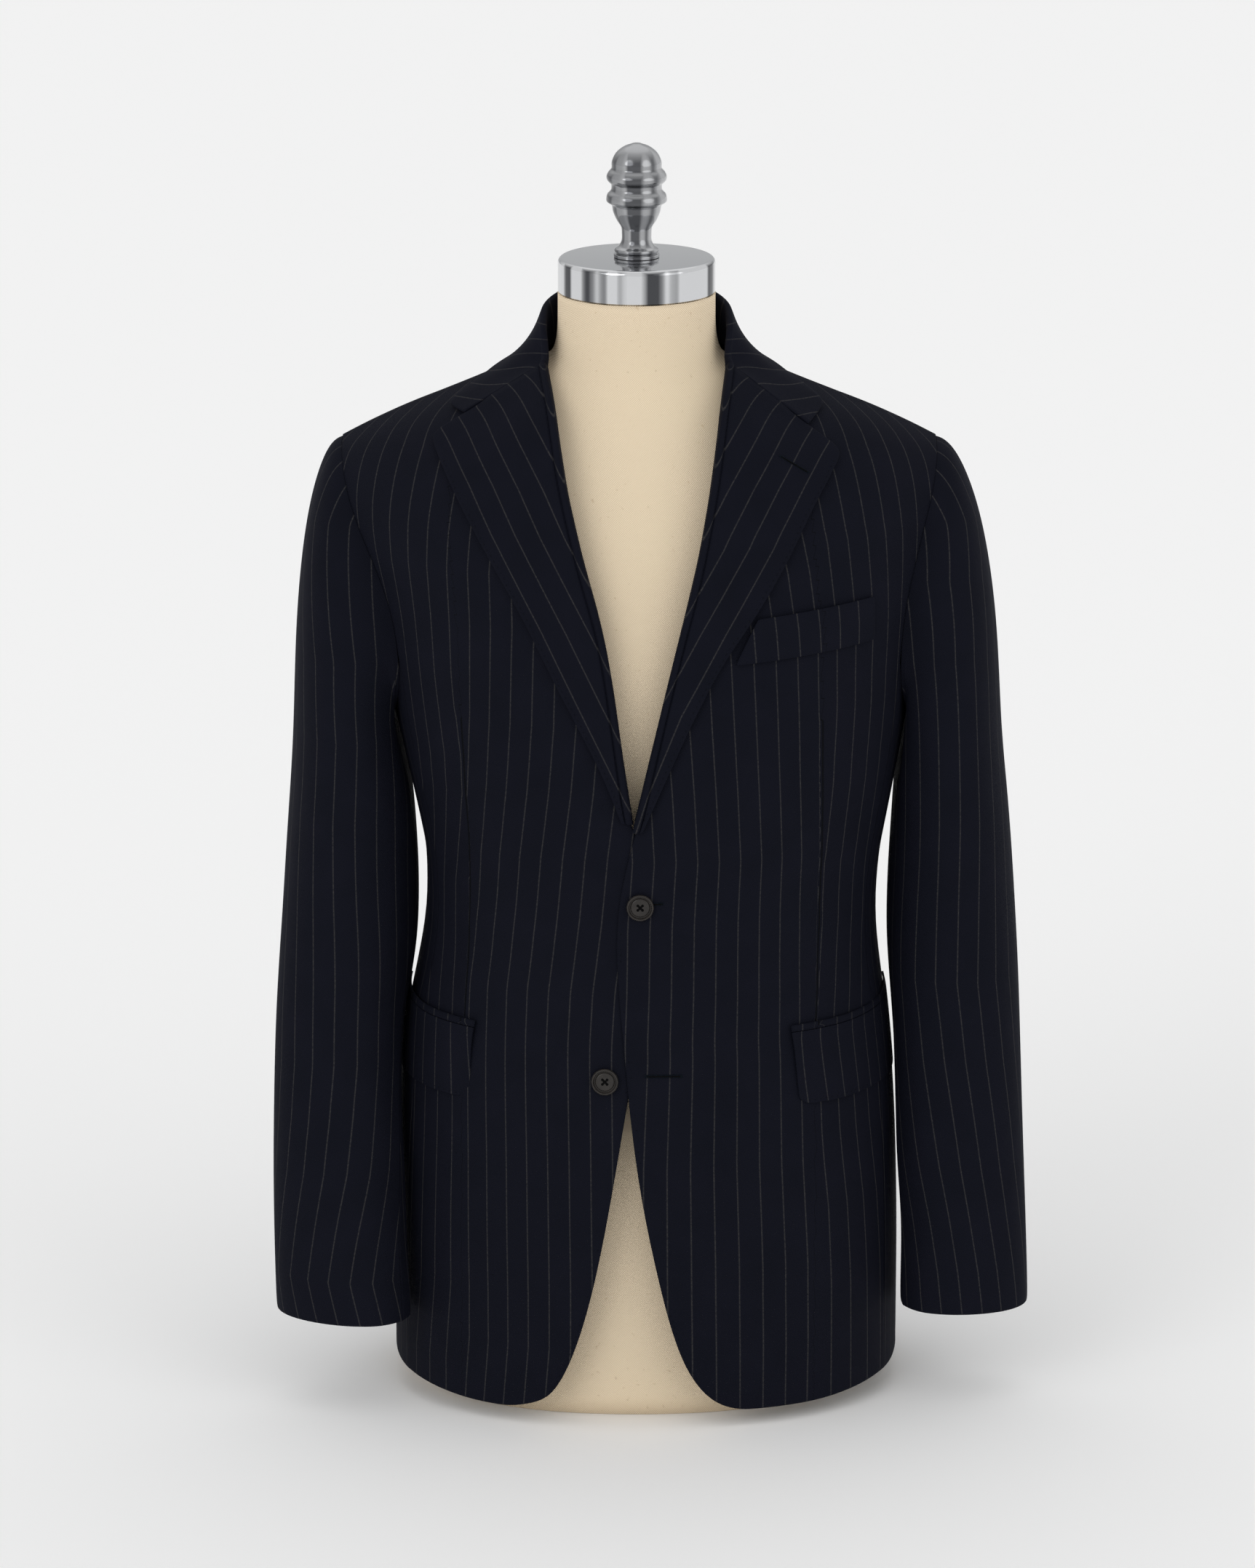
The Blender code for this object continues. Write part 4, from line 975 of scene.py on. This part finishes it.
# %% Horn and thread
horn, tree, shader = new_material(
    "polished dark horn", Roughness=0.3, IOR=1.5, Specular_IOR_Level=0.3
)
place = add_node(tree, "ShaderNodeTexCoord")
streaks = noise(tree, place.outputs["Object"], 160.0, 3.0)
browned = mixed(tree, streaks, linear("#1A1817"), linear("#34302D"))
tree.links.new(browned, shader.inputs["Base Color"])
# the dark sewing thread also makes the painted shade in the buttonholes' cuts
THREADS = {"dark sewing thread": "#030304", "navy silk": "#0C0E15", "buttonhole twist": "#111820"}
thread, silk, twist = (
    new_material(name, Base_Color=linear(dye), Roughness=0.8, Specular_IOR_Level=0.08)[0]
    for name, dye in THREADS.items()
)
print("materials:", horn.name, thread.name, silk.name, twist.name)

# %% Turn and sew the buttons
BUTTON_PROFILE = [  # radius and height above the back, in mm, on a button of 10 mm radius
    (0.0, 0.0), (8.4, 0.0), (9.5, 0.7), (9.95, 1.6), (9.8, 2.5), (9.2, 3.1), (8.6, 3.1), (8.1, 2.5),
    (7.8, 1.2), (7.2, 1.1), (6.7, 1.9), (5.8, 2.2), (4.0, 1.9), (0.0, 1.7),
]
PROFILE_RADIUS = 10.0
HOLE_PLACE, HOLE_RADIUS, HOLE_HEIGHT, HOLE_DEPTH = 1.7, 1.0, 1.8, 0.1
HOLE_PROFILE = [(0.0, 0.0), (HOLE_RADIUS, 0.0), (HOLE_RADIUS, HOLE_DEPTH), (0.0, HOLE_DEPTH)]
BARS = {45: 2.05, 135: 2.3}  # each bar of the cross: the way that it is turned, and its height
BAR_SIZE = (3.0, 0.75, 0.5)  # half of its length, width and thickness
RING = 48


def button_frame(node):
    """The centre of a CAD button, its axis and its thickness."""
    points = np.array([v.co for v in frame["nodes"][node].data.vertices])
    middle = (points.min(axis=0) + points.max(axis=0)) / 2
    axis = np.linalg.svd(points - points.mean(axis=0))[2][2]
    axis = axis if axis[1] < 0 else -axis
    radius = np.linalg.norm(points - middle, axis=1).max()
    return Vector(middle), Vector(axis), radius, float(np.ptp(points @ axis))


def turned_disc(bm, profile, to_world, scale):
    """Adds a body of revolution to a bmesh and places it."""
    rings = []
    for radius, height in profile:
        count = RING if radius > 0 else 1
        turn = [2 * math.pi * k / count for k in range(count)]
        places = [Vector((radius * math.cos(a), radius * math.sin(a), height)) * scale for a in turn]
        rings.append([bm.verts.new(to_world @ p) for p in places])
    for low, high in zip(rings, rings[1:]):
        for k in range(RING):
            below = [low[k % len(low)], low[(k + 1) % len(low)]]
            above = [high[(k + 1) % len(high)], high[k % len(high)]]
            bm.faces.new(list(dict.fromkeys(below + above)))


for node in ("button_top", "button_lower"):
    middle, axis, radius, thickness = button_frame(node)
    back = middle - axis * thickness / 2
    to_world = Matrix.Translation(back) @ axis.to_track_quat("Z", "Y").to_matrix().to_4x4()
    scale = radius / PROFILE_RADIUS
    name = node.replace("_", "-")
    disc_bm = bmesh.new()
    turned_disc(disc_bm, BUTTON_PROFILE, to_world, scale)
    button = new_object(name, finished_mesh(disc_bm, name, BUTTON_SHARP), horn)
    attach(button, "root")
    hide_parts(node)

    cross_bm = bmesh.new()
    for k in range(4):
        turn = math.radians(45 + 90 * k)
        hole = Vector((math.cos(turn), math.sin(turn), 0)) * HOLE_PLACE * math.sqrt(2)
        at = to_world @ Matrix.Translation((hole + Vector((0, 0, HOLE_HEIGHT))) * scale)
        turned_disc(cross_bm, HOLE_PROFILE, at, scale)
    for turn, height in BARS.items():
        bar = Matrix.Translation(Vector((0, 0, height)) * scale)
        bar = bar @ Matrix.Rotation(math.radians(turn), 4, "Z") @ Matrix.Scale(scale, 4)
        bar = bar @ Matrix.Diagonal((*BAR_SIZE, 1.0))
        bmesh.ops.create_uvsphere(cross_bm, u_segments=16, v_segments=8, radius=1.0, matrix=to_world @ bar)
    cross_mesh = finished_mesh(cross_bm, name + "-thread", BUTTON_SHARP)
    cross = new_object(name + "-thread", cross_mesh, thread)
    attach(cross, "root")
    print(name, "radius", round(radius / MM, 1), "mm, thickness", round(thickness / MM, 1), "mm")

# %% [markdown]
# ## Hand stitches
# The edges of a tailored jacket are held by pick stitches: short stitches in silk, some 3 mm in from
# the edge. Buttonholes are worked in a thicker twist, stitch beside stitch; the cut between them is
# painted shade, a row of near-black thread marks. A line on the cloth is found for each edge by
# looking at the piece from the front, and a node tree lays the stitches along it.

# %% A node tree that lays stitches along a line
stitch_tree = bpy.data.node_groups.new("stitches along a line", "GeometryNodeTree")
stitch_tree.interface.new_socket("Line", in_out="INPUT", socket_type="NodeSocketGeometry")
SOCKETS = {}
for name, kind in (
    ("Spacing", "NodeSocketFloat"),
    ("Stitch Size", "NodeSocketVector"),
    ("Seed", "NodeSocketInt"),
    ("Thread", "NodeSocketMaterial"),
):
    SOCKETS[name] = stitch_tree.interface.new_socket(name, in_out="INPUT", socket_type=kind).identifier
stitch_tree.interface.new_socket("Stitches", in_out="OUTPUT", socket_type="NodeSocketGeometry")
given = add_node(stitch_tree, "NodeGroupInput")
line = add_node(stitch_tree, "GeometryNodeMeshToCurve", {"Mesh": given.outputs["Line"]})
even = add_node(
    stitch_tree,
    "GeometryNodeResampleCurve",
    {"Curve": line.outputs[0], "Length": given.outputs["Spacing"]},
    mode="LENGTH",
)
along_line = add_node(stitch_tree, "GeometryNodeInputTangent")
facing = add_node(
    stitch_tree, "FunctionNodeAlignRotationToVector", {"Vector": along_line.outputs[0]}, axis="X"
)
uneven = add_node(
    stitch_tree,
    "FunctionNodeRandomValue",
    {"Min": (0.8, 0.85, 0.85), "Max": (1.15, 1.1, 1.1), "Seed": given.outputs["Seed"]},
    data_type="FLOAT_VECTOR",
)
sized = vectors(stitch_tree, "MULTIPLY", uneven.outputs["Value"], given.outputs["Stitch Size"])
stitch = add_node(stitch_tree, "GeometryNodeMeshUVSphere", {"Segments": 8, "Rings": 5, "Radius": 0.5})
laid = add_node(
    stitch_tree,
    "GeometryNodeInstanceOnPoints",
    {
        "Points": even.outputs[0],
        "Instance": stitch.outputs["Mesh"],
        "Rotation": facing.outputs[0],
        "Scale": sized,
    },
)
real = add_node(stitch_tree, "GeometryNodeRealizeInstances", {"Geometry": laid.outputs[0]})
dyed = add_node(
    stitch_tree,
    "GeometryNodeSetMaterial",
    {"Geometry": real.outputs[0], "Material": given.outputs["Thread"]},
)
add_node(stitch_tree, "NodeGroupOutput", {"Stitches": dyed.outputs[0]})
print("node tree:", stitch_tree.name)


# %% Lines on the cloth
IN_FRONT = -1.0  # metres; rays to the cloth start here
BAND = 1.5  # mm; points this near to a level count as on it


def on_cloth(node, places, proud):
    """The places (x and z in mm) that meet a piece of cloth seen from the front, in metres."""
    mesh = cloth[node].data
    tree = BVHTree.FromPolygons([v.co for v in mesh.vertices], [p.vertices for p in mesh.polygons])
    found = []
    for x, z in places:
        start = Vector((AXIS.x + x * MM, IN_FRONT, z * MM))
        hit, normal, _, _ = tree.ray_cast(start, Vector((0, 1, 0)))
        if hit is not None:
            found.append(hit + normal * (proud if normal.y < 0 else -proud))
    return found


def edge_of(node, heights, outer, inset):
    """Places along a piece's inner or outer edge at the given heights, a little way in from it."""
    points = axis_points(cloth[node].data)
    sign = 1 if points[:, 0].mean() > 0 else -1
    places = []
    for z in heights:
        level = points[np.abs(points[:, 2] - z) < BAND, 0] * sign
        if len(level):
            places.append((sign * (level.max() - inset if outer else level.min() + inset), z))
    return places


def hem_of(node, widths, inset):
    """Places along a piece's lower edge at the given distances from the axis."""
    points = axis_points(cloth[node].data)
    places = []
    for x in widths:
        level = points[np.abs(points[:, 0] - x) < BAND, 2]
        if len(level):
            places.append((x, level.min() + inset))
    return places


def sew(name, points, spacing, size, seed, material):
    """Lays stitches along a line of points, as a piece of its own."""
    mesh = bpy.data.meshes.new(name)
    mesh.from_pydata(points, [(k, k + 1) for k in range(len(points) - 1)], [])
    source = new_object(name + "-line", mesh)
    modifier = source.modifiers.new("stitches", "NODES")
    modifier.node_group = stitch_tree
    values = {"Spacing": spacing, "Stitch Size": size, "Seed": seed, "Thread": material}
    for socket, value in values.items():
        modifier[SOCKETS[socket]] = value
    stitches = made_real(source, name)
    stitches.shade_smooth()
    piece = new_object(name, stitches, material)
    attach(piece, "root")
    return piece


# %% Pick stitches
PICK_INSET, LAPEL_INSET = 2.6, 3.0  # mm in from the edge
PICK_PROUD = 0.00005  # metres; the silk lies nearly sunk in the cloth
PICK_SPACING = 0.0048
PICK_SIZE = (0.0017, 0.0006, 0.0005)
PICK_LINES = {
    "lapel-edge-left": ("lapel_left", edge_of("lapel_left", range(430, 718, 4), True, LAPEL_INSET)),
    "lapel-edge-right": ("lapel_right", edge_of("lapel_right", range(430, 716, 4), True, LAPEL_INSET)),
    "front-edge-left": ("front_left", edge_of("front_left", range(20, 396, 4), False, PICK_INSET)),
    "front-edge-right": ("front_right", edge_of("front_right", range(20, 262, 4), False, PICK_INSET)),
    "flap-foot-left": ("flap_left", hem_of("flap_left", range(122, 172, 3), PICK_INSET)),
    "flap-foot-right": ("flap_right", hem_of("flap_right", range(-160, -117, 3), PICK_INSET)),
}
total = 0
for seed, (name, (node, places)) in enumerate(PICK_LINES.items(), 11):
    points = on_cloth(node, places, PICK_PROUD)
    total += len(sew("picks-" + name, points, PICK_SPACING, PICK_SIZE, seed, silk).data.polygons)
print(len(PICK_LINES), "rows of pick stitches,", total, "faces")

# %% Buttonholes
HOLES = {  # the two ends of each buttonhole, x and z in mm, and the cloth that it is cut in
    "buttonhole-lower": ("front_left", (5.8, 269.0), (33.3, 269.0)),
    "buttonhole-top": ("front_left", (6.0, 397.6), (19.0, 398.4)),
    "buttonhole-lapel": ("lapel_left", (102.3, 720.7), (123.3, 708.1)),
}
TWIST_PROUD, TWIST_SPACING, TWIST_SIZE = 0.0001, 0.00055, (0.0005, 0.0011, 0.0031)
SLIT_PROUD, SLIT_SPACING, SLIT_SIZE = 0.0006, 0.0011, (0.0018, 0.0006, 0.0011)
steps = np.linspace(0, 1, 24)
for seed, (name, (node, first, last)) in enumerate(HOLES.items(), 31):
    line = [(first[0] + (last[0] - first[0]) * t, first[1] + (last[1] - first[1]) * t) for t in steps]
    sew(name, on_cloth(node, line, TWIST_PROUD), TWIST_SPACING, TWIST_SIZE, seed, twist)
    # painted shade: a row of near-black thread marks stands in for the shade in the buttonhole's cut
    slit_shade = on_cloth(node, line[2:-2], SLIT_PROUD)
    sew(name + "-slit", slit_shade, SLIT_SPACING, SLIT_SIZE, seed, thread)
print(len(HOLES), "buttonholes")
